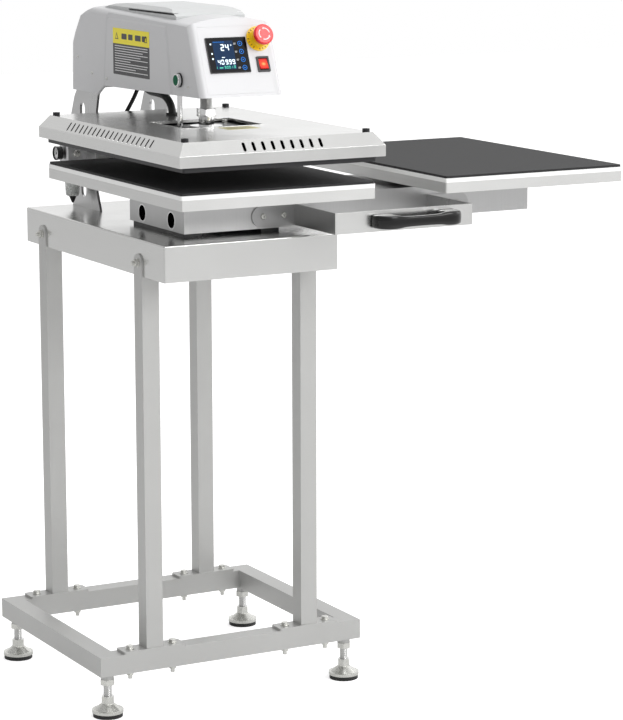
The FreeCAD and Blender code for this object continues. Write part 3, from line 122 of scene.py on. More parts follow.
def noise(tree, scale, detail=4.0, stretch=(1, 1, 1)):
    made = tree.nodes.new("ShaderNodeTexNoise")
    made.inputs["Scale"].default_value = scale
    made.inputs["Detail"].default_value = detail
    made.inputs["Roughness"].default_value = 0.55
    tree.links.new(coordinates(tree, stretch), made.inputs["Vector"])
    return made.outputs["Fac"]


def bump(tree, shader, source, strength, distance, edge=0.0006):
    """Fine relief over softly broken edges."""
    made = tree.nodes.new("ShaderNodeBump")
    soft = tree.nodes.new("ShaderNodeBevel")
    soft.samples = 4
    soft.inputs["Radius"].default_value = edge
    tree.links.new(soft.outputs["Normal"], made.inputs["Normal"])
    made.inputs["Strength"].default_value = strength
    made.inputs["Distance"].default_value = distance
    tree.links.new(source, made.inputs["Height"])
    tree.links.new(made.outputs["Normal"], shader.inputs["Normal"])


def mixed(tree, a, b, factor_source):
    made = tree.nodes.new("ShaderNodeMix")
    made.data_type = "RGBA"
    made.inputs["A"].default_value = (*a, 1)
    made.inputs["B"].default_value = (*b, 1)
    tree.links.new(factor_source, made.inputs["Factor"])
    return made.outputs["Result"]


def finish_material(name, color, rough, metallic=0.0, grain_scale=900.0, grain=0.05, depth=0.00004,
                    blotch=0.04, rough_spread=0.06, stretch=(1, 1, 1), coat=0.0, ior=1.5, gleam=0.5):
    """A surface with slow blotches in its colour, fine grain in its roughness and a fine bump."""
    material, tree, shader = new_material(name)
    shader.inputs["Metallic"].default_value = metallic
    shader.inputs["IOR"].default_value = ior
    shader.inputs["Coat Weight"].default_value = coat
    shader.inputs["Specular IOR Level"].default_value = gleam
    slow = noise(tree, 9.0, 3.0)
    dark = tuple(c * (1 - blotch) for c in color)
    light = tuple(min(1.0, c * (1 + blotch)) for c in color)
    tree.links.new(mixed(tree, dark, light, slow), shader.inputs["Base Color"])
    fine = noise(tree, grain_scale, 3.0, stretch)
    tree.links.new(ramp(tree, fine, [(0.3, max(0.02, rough - rough_spread)), (0.7, rough + rough_spread)]),
                   shader.inputs["Roughness"])
    bump(tree, shader, fine, grain, depth)
    return material


def brushed_material(name, color, rough, along, metallic=1.0):
    """Sheet metal with brush lines along one axis, and faint smudges."""
    stretch = {"x": (6, 700, 700), "y": (700, 6, 700), "z": (700, 700, 6)}[along]
    material, tree, shader = new_material(name)
    shader.inputs["Metallic"].default_value = metallic
    lines = noise(tree, 1.0, 2.0, stretch)
    smudge = noise(tree, 6.0, 4.0)
    dark, light = tuple(c * 0.93 for c in color), tuple(min(1, c * 1.05) for c in color)
    tree.links.new(mixed(tree, dark, light, lines), shader.inputs["Base Color"])
    both = tree.nodes.new("ShaderNodeMath")
    both.operation = "MULTIPLY_ADD"
    tree.links.new(lines, both.inputs[0])
    both.inputs[1].default_value = 0.5
    tree.links.new(smudge, both.inputs[2])
    tree.links.new(ramp(tree, both.outputs[0], [(0.4, max(0.03, rough - 0.05)), (1.0, rough + 0.09)]),
                   shader.inputs["Roughness"])
    bump(tree, shader, lines, 0.06, 0.00003)
    return material


def thread_material(name, color, rough, pitch=0.0015):
    """Rolled thread on the world's vertical, as bump rings with painted shade darkening the roots."""
    material, tree, shader = new_material(name)
    shader.inputs["Metallic"].default_value = 1.0
    wave = tree.nodes.new("ShaderNodeTexWave")
    wave.bands_direction = "Z"
    wave.inputs["Scale"].default_value = 0.314 / pitch
    wave.inputs["Distortion"].default_value = 0.0
    tree.links.new(coordinates(tree), wave.inputs["Vector"])
    # Painted shade: the thread's roots take a darker copy of its colour (0.55) than the crests.
    tree.links.new(mixed(tree, tuple(c * 0.55 for c in color), color, wave.outputs["Fac"]),
                   shader.inputs["Base Color"])
    shader.inputs["Roughness"].default_value = rough
    bump(tree, shader, wave.outputs["Fac"], 0.6, 0.0004)
    return material


MAT = {
    "stand": finish_material("stand_paint", (0.50, 0.50, 0.49), 0.40, 0.55, 1400, 0.25, 0.00008, 0.05, 0.07),
    "beam": brushed_material("beam_steel", (0.51, 0.51, 0.51), 0.30, "z", 0.9),
    "bracket": brushed_material("bracket_steel", (0.42, 0.42, 0.42), 0.28, "z", 0.9),
    "box": brushed_material("box_steel", (0.68, 0.68, 0.67), 0.20, "y"),
    "cover": brushed_material("cover_steel", (0.74, 0.74, 0.73), 0.19, "y"),
    "upright": brushed_material("upright_steel", (0.56, 0.56, 0.56), 0.28, "z"),
    "head": finish_material("head_paint", (0.62, 0.62, 0.63), 0.42, 0.15, 1600, 0.22, 0.00007, 0.02, 0.05),
    "lid": finish_material("lid_plastic", (0.56, 0.57, 0.57), 0.46, 0.0, 1100, 0.30, 0.00009, 0.02, 0.05),
    "zinc": finish_material("zinc_plate", (0.66, 0.66, 0.63), 0.26, 0.95, 500, 0.10, 0.00004, 0.12, 0.08),
    "chrome": finish_material("hard_chrome", (0.78, 0.78, 0.78), 0.08, 1.0, 700, 0.03, 0.00001, 0.03, 0.03),
    "dark": finish_material("dark_metal", (0.030, 0.030, 0.032), 0.38, 0.4, 900, 0.2, 0.00006, 0.10, 0.08),
    "black_screw": finish_material("black_oxide", (0.022, 0.022, 0.024), 0.36, 0.5, 900, 0.2, 0.00005, 0.12,
                                   0.08),
    "board": finish_material("board_white", (0.92, 0.92, 0.91), 0.58, 0.0, 600, 0.15, 0.00006, 0.02, 0.05),
    "pad": finish_material("pad_foam", (0.016, 0.016, 0.017), 0.74, 0.0, 2600, 0.55, 0.00012, 0.15, 0.06),
    "rubber": finish_material("rubber", (0.014, 0.014, 0.014), 0.50, 0.0, 900, 0.3, 0.00008, 0.15, 0.08),
    "plastic": finish_material("black_plastic", (0.016, 0.016, 0.017), 0.40, 0.0, 1500, 0.3, 0.00006, 0.10,
                               0.06),
    "gloss": finish_material("gloss_black", (0.004, 0.004, 0.004), 0.13, 0.0, 500, 0.05, 0.00003, 0.08,
                             0.04, coat=0.3, gleam=0.35),
    "glass": finish_material("display_glass", (0.004, 0.004, 0.005), 0.12, 0.0, 500, 0.01, 0.00001, 0.08,
                             0.03, gleam=0.06),
    "platen": brushed_material("platen_side", (0.68, 0.68, 0.67), 0.34, "y", 0.85),
    "alu": finish_material("anodised", (0.62, 0.62, 0.63), 0.33, 0.9, 1200, 0.15, 0.00005, 0.04, 0.06),
    "yellow": finish_material("yellow_plastic", (0.92, 0.62, 0.01), 0.32, 0.0, 900, 0.1, 0.00003, 0.04,
                              0.04, coat=0.2),
    "red": finish_material("red_plastic", (0.80, 0.016, 0.020), 0.26, 0.0, 900, 0.08, 0.00003, 0.05, 0.05,
                           coat=0.3),
    "green": finish_material("green_plastic", (0.002, 0.11, 0.05), 0.50, 0.0, 900, 0.30, 0.0001, 0.06, 0.05,
                             gleam=0.10),
    "pcb": finish_material("circuit_board", (0.015, 0.13, 0.05), 0.40, 0.0, 300, 0.2, 0.0001, 0.2, 0.1),
    "nickel": finish_material("nickel", (0.80, 0.79, 0.76), 0.16, 1.0, 600, 0.06, 0.00003, 0.08, 0.06),
    "print_white": finish_material("printed_white", (0.85, 0.85, 0.85), 0.45, 0.0, 900, 0.05, 0.00002, 0.02,
                                   0.04),
    "print_black": finish_material("printed_black", (0.02, 0.02, 0.02), 0.45, 0.0, 900, 0.05, 0.00002, 0.10,
                                   0.04),
    "label_yellow": finish_material("label_yellow", (0.93, 0.80, 0.02), 0.38, 0.0, 1200, 0.05, 0.00002,
                                    0.02, 0.04),
    "label_dark": finish_material("label_dark", (0.045, 0.045, 0.048), 0.40, 0.0, 1200, 0.05, 0.00002, 0.06,
                                  0.04),
    "label_pale": finish_material("label_pale", (0.85, 0.78, 0.36), 0.40, 0.0, 1200, 0.05, 0.00002, 0.04,
                                  0.04),
    "weld": finish_material("weld", (0.42, 0.42, 0.41), 0.45, 0.6, 250, 0.9, 0.0006, 0.15, 0.10),
    "insulation": finish_material("insulation", (0.020, 0.020, 0.020), 0.75, 0.0, 300, 0.5, 0.0004, 0.2,
                                  0.08),
    "push_ring": finish_material("push_ring", (0.03, 0.10, 0.30), 0.35, 0.0, 700, 0.05, 0.00003, 0.06, 0.04),
    "thread": thread_material("rolled_thread", (0.82, 0.82, 0.81), 0.16),
}


def lit_material(name, color, strength, rough=0.3):
    """A lit segment or a back-lit key: colour of its own, a little uneven."""
    material, tree, shader = new_material(name)
    cloud = noise(tree, 260.0, 2.0)
    dark = tuple(c * 0.8 for c in color)
    shade = mixed(tree, dark, color, cloud)
    tree.links.new(shade, shader.inputs["Base Color"])
    tree.links.new(shade, shader.inputs["Emission Color"])
    shader.inputs["Emission Strength"].default_value = strength
    shader.inputs["Roughness"].default_value = rough
    return material


def rocker_material():
    """Translucent red key with a lamp behind its middle."""
    material, tree, shader = new_material("red_lamp")
    place = tree.nodes.new("ShaderNodeTexCoord")
    far = tree.nodes.new("ShaderNodeVectorMath")
    far.operation = "DISTANCE"
    tree.links.new(place.outputs["Generated"], far.inputs[0])
    far.inputs[1].default_value = (0.5, 0.45, 0.45)
    glow = ramp(tree, far.outputs["Value"], [(0.06, (1.0, 0.66, 0.20)), (0.25, (0.90, 0.09, 0.02)),
                                             (0.58, (0.20, 0.004, 0.003))])
    shader.inputs["Base Color"].default_value = (0.55, 0.01, 0.01, 1)
    tree.links.new(glow, shader.inputs["Emission Color"])
    shader.inputs["Emission Strength"].default_value = 0.9
    fine = noise(tree, 700.0)
    tree.links.new(ramp(tree, fine, [(0.3, 0.12), (0.7, 0.24)]), shader.inputs["Roughness"])
    bump(tree, shader, fine, 0.06, 0.00003, 0.0003)
    return material


MAT["red_lamp"] = rocker_material()
MAT["lit_white"] = lit_material("lit_white", (0.80, 0.93, 1.0), 0.75)
MAT["lit_blue"] = lit_material("lit_blue", (0.02, 0.20, 0.70), 0.42)
MAT["lit_green"] = lit_material("lit_green", (0.10, 0.65, 0.45), 0.5)
MAT["lcd"] = lit_material("lcd_back", (0.012, 0.034, 0.085), 0.22, 0.3)
for _name in ("lcd", "lit_white", "lit_blue", "lit_green"):
    MAT[_name].node_tree.nodes["Principled BSDF"].inputs["Specular IOR Level"].default_value = 0.05


def bowl_material():
    material, tree, shader = new_material("bowl_plastic")
    shader.inputs["Transmission Weight"].default_value = 0.55
    shader.inputs["IOR"].default_value = 1.45
    cloud = noise(tree, 60.0, 3.0)
    tree.links.new(mixed(tree, (0.80, 0.82, 0.80), (0.92, 0.93, 0.92), cloud), shader.inputs["Base Color"])
    tree.links.new(ramp(tree, cloud, [(0.3, 0.22), (0.7, 0.34)]), shader.inputs["Roughness"])
    return material


MAT["bowl"] = bowl_material()

NODE_LOOKS = {
    "stand": ["base_rail_front", "base_rail_rear", "base_rail_left", "base_rail_right", "leg_front_left",
              "leg_front_right", "leg_rear_left", "leg_rear_right"],
    "zinc": ["leg_bolts", "leg_nuts", "carriage_screws", "heating_element"],
    "box": ["base_box"],
    "upright": ["upright_left", "upright_right"],
    "beam": ["upright_crossbar", "carriage_beam"],
    "bracket": ["handle_bracket"],
    "cover": ["platen_cover"],
    "dark": ["cylinder_mount", "heating_plate", "hub_plate"],
    "alu": ["air_cylinder", "regulator_body"],
    "chrome": ["piston_rod", "guide_rod", "carriage_shafts", "start_button_ring", "ram_nut"],
    "platen": ["lower_platens"],
    "board": ["platen_boards"],
    "pad": ["platen_pads"],
    "rubber": ["conduit_gland"],
    "plastic": ["bearing_blocks", "rocker_bezel", "power_inlet", "regulator_knob", "pressure_gauge",
                "gauge_needle", "solenoid_valve"],
    "gloss": ["handle"],
    "glass": ["display_module"],
    "head": ["head_shell", "head_front_panel"],
    "lid": ["head_top_lid"],
    "red_lamp": ["rocker_switch"],
    "yellow": ["estop_base"],
    "red": ["estop_cap", "estop_stem"],
    "green": ["start_button"],
    "pcb": ["control_board"],
    "bowl": ["filter_bowl"],
    "nickel": ["air_fittings"],
}


def split_look(name, looks, pick):
    """Gives one CAD node several looks, face by face; pick gets the face's middle, corners and normal."""
    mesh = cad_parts[name].data
    mesh.materials.clear()
    for look in looks:
        mesh.materials.append(MAT[look])
    for face in mesh.polygons:
        corners = [mesh.vertices[i].co for i in face.vertices]
        middle = sum(corners, Vector()) / len(corners)
        face.material_index = pick(middle, corners, face.normal)


def paint_nodes():
    for look, names in NODE_LOOKS.items():
        for name in names:
            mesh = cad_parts[name].data
            mesh.materials.clear()
            mesh.materials.append(MAT[look])
    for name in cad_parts:
        if name.startswith("levelling_foot"):
            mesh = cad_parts[name].data
            mesh.materials.clear()
            for look in ("zinc", "rubber", "thread"):
                mesh.materials.append(MAT[look])
            rubber_top = 0.0081
            stud_foot = 0.0402
            for face in mesh.polygons:
                z = max(mesh.vertices[i].co.z for i in face.vertices)
                low = min(mesh.vertices[i].co.z for i in face.vertices)
                face.material_index = 1 if z < rubber_top else 2 if low > stud_foot - 0.0005 else 0
    thread_top = at(0, 0, 158).z
    split_look("piston_rod", ["chrome", "thread"],
               lambda m, c, n: int(max(v.z for v in c) < thread_top + 0.0001))
    hub_top, cap_low = at(0, 0, 88.1).z, at(0, 0, 91.9).z
    split_look("hub_plate", ["dark", "chrome"], lambda m, c, n: int(m.z > hub_top))
    far = at(150, 0, 0).x - RAM_X
    split_look("platen_screws", ["zinc", "black_screw"], lambda m, c, n: int(abs(m.x - RAM_X) > far))
    core = at(0, 0, 60)

    def inside(m, c, n):
        out = m - core
        return int(n.dot(Vector((out.x / 0.21, out.y / 0.32, out.z / 0.06))) < 0)

    split_look("platen_cover", ["cover", "insulation"], inside)
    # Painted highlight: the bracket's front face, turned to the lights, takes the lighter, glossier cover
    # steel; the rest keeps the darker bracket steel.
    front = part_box("handle_bracket")[0].y + 0.001
    split_look("handle_bracket", ["bracket", "cover"], lambda m, c, n: int(m.y < front))
    shoulder = at(-89.2, 0, 0).x
    split_look("start_button_ring", ["chrome", "black_screw"], lambda m, c, n: int(m.x > shoulder))
    split_look("filter_bowl", ["bowl", "plastic"], lambda m, c, n: int(m.z < at(0, 0, -80.5).z))


paint_nodes()


# ---------------------------------------------------------------------------
# Hoses and the heater conduit
# ---------------------------------------------------------------------------
def curve_through(name, points, radius, material):
    data = bpy.data.curves.new(name, "CURVE")
    data.dimensions = "3D"
    spline = data.splines.new("NURBS")
    spline.points.add(len(points) - 1)
    for point, place in zip(spline.points, points):
        point.co = (*place, 1.0)
    spline.order_u = 3
    spline.use_endpoint_u = True
    data.resolution_u = 12
    data.bevel_depth = radius
    data.bevel_resolution = 6
    data.use_fill_caps = True
    data.materials.append(material)
    made = bpy.data.objects.new(name, data)
    bpy.context.scene.collection.objects.link(made)
    return made


CONDUIT = [(16.0, 328.0, 182.0), (16.0, 322.0, 159.0), (16.0, 309.0, 142.0), (16.0, 283.0, 134.0),
           (16.0, 250.0, 134.0), (16.0, 217.0, 132.0), (16.0, 193.0, 120.0), (16.0, 182.5, 104.0),
           (16.0, 181.5, 86.0)]
SUPPLY_HOSE = [(-71.5, 402.0, 8.0), (-55.0, 402.0, 8.0), (-38.0, 391.0, 24.0), (-26.0, 366.0, 52.0),
               (-14.0, 338.0, 86.0), (15.0, 334.0, 139.0), (24.0, 346.0, 168.0), (38.0, 345.0, 192.0),
               (52.0, 331.0, 206.0), (60.0, 306.0, 207.0), (61.0, 280.0, 203.0)]
LOWER_HOSE = [(55.0, 220.0, 200.0), (50.0, 188.0, 198.0), (36.0, 150.0, 193.0), (18.0, 112.0, 188.0),
              (4.0, 78.0, 185.5), (0.0, 42.0, 185.0)]
UPPER_HOSE = [(67.0, 220.0, 206.0), (64.0, 188.0, 212.0), (50.0, 152.0, 232.0), (28.0, 118.0, 254.0),
              (6.0, 82.0, 270.0), (0.0, 42.0, 275.0)]


def hoses():
    for name, route, radius in (("hose_supply", SUPPLY_HOSE, 0.004), ("hose_lower", LOWER_HOSE, 0.003),
                                ("hose_upper", UPPER_HOSE, 0.003)):
        hose = curve_through(name, [at(*p) for p in route], radius, MAT["rubber"])
        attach(hose, "frame")
        if name == "hose_supply":
            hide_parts("air_hoses")


def conduit():
    line = curve_through("conduit_line", [at(*p) for p in CONDUIT], 0.0075, MAT["rubber"])
    mesh = bpy.data.meshes.new_from_object(line)
    bpy.data.objects.remove(line)
    made = bpy.data.objects.new("heater_conduit_sleeve", mesh)
    bpy.context.scene.collection.objects.link(made)
    for face in mesh.polygons:
        face.use_smooth = True
    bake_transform(made)
    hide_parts("heater_conduit")


hoses()
conduit()


# ---------------------------------------------------------------------------
# Mesh helpers for the small pieces
# ---------------------------------------------------------------------------
def frame_of(normal, up):
    n = Vector(normal).normalized()
    u = (Vector(up) - n * Vector(up).dot(n)).normalized()
    return u.cross(n), u, n


def finished(name, work, look, body, smooth=False):
    mesh = bpy.data.meshes.new(name)
    bmesh.ops.recalc_face_normals(work, faces=work.faces)
    for face in work.faces:
        face.smooth = smooth
    work.to_mesh(mesh)
    work.free()
    made = bpy.data.objects.new(name, mesh)
    bpy.context.scene.collection.objects.link(made)
    for one in ([look] if isinstance(look, str) else look):
        mesh.materials.append(MAT[one])
    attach(made, body)
    return made


def add_outline(work, place, outline, low, high, chamfer=0.0, index=0):
    """A slab over a flat outline, its upper edge broken."""
    centre = sum((Vector((a, b)) for a, b in outline), Vector((0, 0))) / len(outline)

    def ring(shrink, height):
        made = []
        for a, b in outline:
            p = Vector((a, b)) - centre
            q = centre + p * max(0.05, 1 - shrink / max(p.length, 1e-6))
            made.append(work.verts.new(place(q.x, q.y, height)))
        return made

    rings = [ring(0, low), ring(0, high - chamfer)]
    if chamfer:
        rings.append(ring(chamfer, high))
    faces = [work.faces.new(rings[-1]), work.faces.new(list(reversed(rings[0])))]
    n = len(outline)
    for a, b in zip(rings, rings[1:]):
        faces += [work.faces.new((a[k], a[(k + 1) % n], b[(k + 1) % n], b[k])) for k in range(n)]
    for face in faces:
        face.material_index = index


def round_rect(a0, a1, b0, b1, r, steps=5):
    made = []
    for ca, cb, start in ((a1 - r, b1 - r, 0), (a0 + r, b1 - r, 90), (a0 + r, b0 + r, 180),
                          (a1 - r, b0 + r, 270)):
        for k in range(steps + 1):
            t = math.radians(start + 90 * k / steps)
            made.append((ca + r * math.cos(t), cb + r * math.sin(t)))
    return made


def circle(a, b, r, count=40):
    return [(a + r * math.cos(2 * math.pi * k / count), b + r * math.sin(2 * math.pi * k / count))
            for k in range(count)]


def add_ring(work, place, a, b, inner, outer, low, high, first=0.0, last=360.0, index=0, steps=40):
    """A flat ring or an arc of one."""
    whole = last - first >= 359.9
    count = steps if whole else steps + 1
    rows = []
    for k in range(count):
        t = math.radians(first + (last - first) * k / steps)
        c, d = math.cos(t), math.sin(t)
        rows.append([work.verts.new(place(a + r * c, b + r * d, h))
                     for r, h in ((inner, low), (outer, low), (outer, high), (inner, high))])
    pairs = list(zip(rows, rows[1:])) + ([(rows[-1], rows[0])] if whole else [])
    faces = []
    for p, q in pairs:
        faces += [work.faces.new((p[k], p[(k + 1) % 4], q[(k + 1) % 4], q[k])) for k in range(4)]
    if not whole:
        faces += [work.faces.new(rows[0]), work.faces.new(list(reversed(rows[-1])))]
    for face in faces:
        face.material_index = index


def add_lathe(work, origin, axis, profile, count=40, index=0, side=(0.31, 0.77, 0.55)):
    """A turned form: profile is (radius, along) pairs in millimetres, from one end to the other."""
    right, up, ahead = frame_of(axis, side)
    rings = []
    for r, h in profile:
        if r < 1e-6:
            rings.append([work.verts.new(origin + ahead * h * MM)])
        else:
            spokes = [right * math.cos(t) + up * math.sin(t) for t in
                      [2 * math.pi * k / count for k in range(count)]]
            rings.append([work.verts.new(origin + ahead * h * MM + spoke * r * MM) for spoke in spokes])
    for p, q in zip(rings, rings[1:]):
        for k in range(count):
            m = (k + 1) % count
            corners = [p[k % len(p)], p[m % len(p)], q[m % len(q)], q[k % len(q)]]
            unique = list(dict.fromkeys(corners))
            if len(unique) > 2:
                work.faces.new(unique).material_index = index


# ---------------------------------------------------------------------------
# Front panel
# ---------------------------------------------------------------------------
TILT = math.atan2(135.0, 54.0)


def on_panel(a, s, o):
    """A point of the sloping front: across, up the slope, and out of it, in millimetres."""
    return at(a, -152 + s * math.cos(TILT) - o * math.sin(TILT),
              158 + s * math.sin(TILT) + o * math.cos(TILT))


SEGMENTS = {"0": "abcdef", "1": "bc", "2": "abged", "3": "abgcd", "4": "fgbc", "5": "afgcd", "6": "afgedc",
            "7": "abc", "8": "abcdefg", "9": "abcfgd"}


def add_digit(work, place, digit, a, b, w, h, bar, low, high, index):
    """A seven-segment digit with its lower left corner at (a, b)."""
    gap = bar * 0.18
    spots = {"a": (0, h - bar, w, h), "g": (0, (h - bar) / 2, w, (h + bar) / 2), "d": (0, 0, w, bar),
             "f": (0, h / 2, bar, h), "b": (w - bar, h / 2, w, h), "e": (0, 0, bar, h / 2),
             "c": (w - bar, 0, w, h / 2)}
    for letter in SEGMENTS[digit]:
        a0, b0, a1, b1 = spots[letter]
        if a1 - a0 > b1 - b0:
            cut = (b1 - b0) / 2
            ring = [(a0 + gap + cut, b0), (a1 - gap - cut, b0), (a1 - gap, b0 + cut), (a1 - gap - cut, b1),
                    (a0 + gap + cut, b1), (a0 + gap, b0 + cut)]
        else:
            cut = (a1 - a0) / 2
            ring = [(a0, b0 + gap + cut), (a0 + cut, b0 + gap), (a1, b0 + gap + cut), (a1, b1 - gap - cut),
                    (a0 + cut, b1 - gap), (a0, b1 - gap - cut)]
        add_outline(work, place, [(a + p, b + q) for p, q in ring], low, high, 0.0, index)


def screen():
    """What the controller shows: a blue window with figures in it and four round touch keys."""
    a0, b0 = -15.0 - 42.0, 81.0 - 34.5
    place = on_panel
    work = bmesh.new()
    add_outline(work, place, round_rect(a0 + 13.5, a0 + 56.0, b0 + 7.0, b0 + 62.5, 0.8), 1.6, 1.66, 0.0, 0)
    finished("display_window", work, "lcd", "frame")
    work = bmesh.new()
    low, high = 1.66, 1.74

    def figures(text, a, b, w, h, bar, index, step):
        for k, digit in enumerate(text):
            if digit != " ":
                add_digit(work, place, digit, a + k * step, b, w, h, bar, low, high, index)

    figures("24", a0 + 29.0, b0 + 43.0, 7.4, 13.0, 2.1, 0, 9.8)
    add_ring(work, place, a0 + 51.2, b0 + 53.6, 0.8, 1.5, low, high, index=0, steps=16)
    figures("40", a0 + 18.5, b0 + 16.5, 5.6, 9.6, 1.6, 0, 7.2)
    figures("999", a0 + 34.2, b0 + 16.5, 5.6, 9.6, 1.6, 0, 7.2)
    add_outline(work, place, round_rect(a0 + 28.5, a0 + 34.5, b0 + 29.6, b0 + 31.0, 0.5), low, high, 0.0, 0)
    for k in range(3):
        centre = (a0 + 9.5, b0 + (56.5, 38.0, 28.0)[k])
        add_outline(work, place, circle(*centre, 1.7, 16), 1.6, 1.7, 0.0, 0)
    for k in range(9):
        add_outline(work, place, round_rect(a0 + 15.0 + 2.6 * k, a0 + 16.9 + 2.6 * k, b0 + 59.6, b0 + 60.6,
                                            0.2, 1),
                    low, high, 0.0, 1)
    figures("1", a0 + 13.0, b0 + 8.6, 2.6, 4.4, 0.8, 2, 3.4)
    add_outline(work, place, round_rect(a0 + 20.0, a0 + 27.5, b0 + 9.4, b0 + 11.2, 0.5), low, high, 0.0, 2)
    figures("9001", a0 + 30.5, b0 + 8.6, 3.3, 5.0, 0.9, 2, 4.6)
    for k in range(8):
        if k % 2 == 0:
            add_outline(work, place, round_rect(a0 + 50.5, a0 + 53.5, b0 + 9.0 + k * 0.75,
                                                b0 + 9.9 + k * 0.75, 0.2, 1),
                        low, high, 0.0, 2)
    finished("display_figures", work, ["lit_white", "lit_blue", "lit_green"], "frame")
    work = bmesh.new()
    for k in range(4):
        a, b = a0 + 70.5 + 0.6 * k, b0 + 56.2 - 15.6 * k
        add_ring(work, place, a, b, 3.7, 4.7, 1.6, 1.72, index=0, steps=32)
        add_outline(work, place, circle(a, b, 1.3, 20), 1.6, 1.68, 0.0, 0)
        for m in range(2):
            add_outline(work, place, round_rect(a - 13.5, a - 8.4 - m, b + 0.5 - 1.9 * m, b + 1.3 - 1.9 * m,
                                                0.2, 1),
                        1.6, 1.68, 0.0, 1)
    finished("display_keys", work, ["lit_blue", "print_white"], "frame")
    work = bmesh.new()
    add_ring_frame(work, place, a0, a0 + 84, b0, b0 + 69, 1.5, 0.9, 1.6, 2.0)
    finished("display_bezel", work, "gloss", "frame")


def add_ring_frame(work, place, a0, a1, b0, b1, r, width, low, high):
    outer = round_rect(a0, a1, b0, b1, r)
    inner = round_rect(a0 + width, a1 - width, b0 + width, b1 - width, max(0.3, r - width))
    rows = [[work.verts.new(place(x, y, z)) for x, y in ring]
            for ring, z in ((outer, low), (outer, high), (inner, high), (inner, low))]
    n = len(outer)
    for p, q in zip(rows, rows[1:] + rows[:1]):
        for k in range(n):
            work.faces.new((p[k], p[(k + 1) % n], q[(k + 1) % n], q[k]))


def stop_button_marks():
    """White turning arrows on the mushroom cap, and dark marks round the yellow disc."""
    a, b = 53.5, 111.0
    top = 17.5 + 12.0
    work = bmesh.new()
    for first in (10.0, 130.0, 250.0):
        add_ring(work, on_panel, a, b, 10.0, 11.9, top, top + 0.12, first, first + 78, steps=18)
        t = math.radians(first + 78)
        tip = math.radians(first + 96)
        ring = [(a + 8.6 * math.cos(t), b + 8.6 * math.sin(t)),
                (a + 13.3 * math.cos(t), b + 13.3 * math.sin(t)),
                (a + 10.9 * math.cos(tip), b + 10.9 * math.sin(tip))]
        add_outline(work, on_panel, ring, top, top + 0.12, 0.0, 0)
    finished("stop_button_arrows", work, "print_white", "stop_button")
    work = bmesh.new()
    for k in range(20):
        t = math.radians(360 * k / 20)
        if k % 5 == 4:
            continue
        ca, cb = a + 20.4 * math.cos(t), b + 20.4 * math.sin(t)
        place = lambda p, q, o, t=t, ca=ca, cb=cb: on_panel(ca + p * math.cos(t) - q * math.sin(t),
                                                            cb + p * math.sin(t) + q * math.cos(t), o)
        add_outline(work, place, round_rect(-1.6, 1.6, -0.8, 0.8, 0.3, 2), 1.6, 1.68, 0.0, 0)
    finished("stop_disc_marks", work, "print_black", "frame")


# ---------------------------------------------------------------------------
# Head: side label, screws and rod bushes
# ---------------------------------------------------------------------------
HEAD_HALF = 89.0


def head_side(side, depth=0.0):
    """Place function on a side of the head: along y, up z, and out of the panel."""
    return lambda y, z, o: at(side * (HEAD_HALF - depth + o), y, z)


def side_label():
    """A yellow header over a dark field with rows of thin bars where text would be."""
    place = head_side(-1, 1.0)
    work = bmesh.new()
    y0, y1, z0, z1 = 64.0, 230.0, 178.0, 268.0
    add_outline(work, place, round_rect(y0, y1, z0, z1, 1.5), -0.4, 0.15, 0.0, 1)
    add_outline(work, place, round_rect(y0, y1, z1 - 30.0, z1, 1.5), 0.1, 0.22, 0.0, 0)
    for k in range(11):
        z = z0 + 7.0 + 4.8 * k
        length = (150, 96, 146, 150, 72, 150, 118, 150, 128, 150, 150)[k]
        add_outline(work, place, round_rect(y1 - 8 - length, y1 - 8, z, z + 1.3, 0.3, 1), 0.12, 0.2, 0.0, 2)
    for k in range(4):
        w = (24, 20, 26, 22)[k]
        y = y1 - 40 - 31 * k
        add_outline(work, place, round_rect(y - w, y, z1 - 20.5, z1 - 9.5, 2.0), 0.2, 0.28, 0.0, 1)
    for y in (y1 - 18, y0 + 16):
        add_outline(work, place, [(y - 7.5, z1 - 21.5), (y + 7.5, z1 - 21.5), (y, z1 - 8.0)], 0.2, 0.28,
                    0.0, 1)
        add_outline(work, place, [(y - 4.8, z1 - 20.0), (y + 4.8, z1 - 20.0), (y, z1 - 11.0)], 0.24, 0.32,
                    0.0, 0)
    finished("side_label", work, ["label_yellow", "label_dark", "print_white"], "frame")


def small_screw(work, origin, axis, r=3.2, h=1.8):
    profile = [(r, -0.4), (r, h * 0.35), (r * 0.82, h * 0.8), (r * 0.5, h), (r * 0.46, h * 0.3),
               (0.0, h * 0.25)]
    add_lathe(work, origin, axis, profile, 24)


def head_screws():
    work = bmesh.new()
    for side in (-1, 1):
        small_screw(work, at(side * 88.9, 330, 172), (side, 0, 0))
        small_screw(work, at(side * 88.9, 400, 200), (side, 0, 0))
        small_screw(work, at(side * 88.0, 262, 166), (side, 0, 0))
        small_screw(work, at(side * 86.0, -99, 175), (side, 0, 0), 2.6, 1.5)
    finished("head_screws", work, "zinc", "frame", True)


def rod_bushes():
    """Collars where the ram and the guide rod leave the head."""
    work = bmesh.new()
    ram_bush = [(12.6, 5.9), (12.6, -2.5), (14.5, -3.5), (19.0, -3.5), (20.0, -2.5), (20.0, 5.9)]
    rod_bush = [(5.3, 6.0), (5.3, -2.0), (6.2, -2.8), (10.0, -2.8), (11.0, -2.0), (11.0, 6.0)]
    add_lathe(work, at(0, 0, 158), (0, 0, 1), ram_bush, 48)
    add_lathe(work, at(-56, 0, 158), (0, 0, 1), rod_bush, 40)
    finished("rod_bushes", work, "nickel", "frame", True)


# ---------------------------------------------------------------------------
# Heated platen: labels, hatch edge
# ---------------------------------------------------------------------------
COVER_TOP = 96.0


def on_cover(a, b, o):
    return at(a, b, COVER_TOP + o)


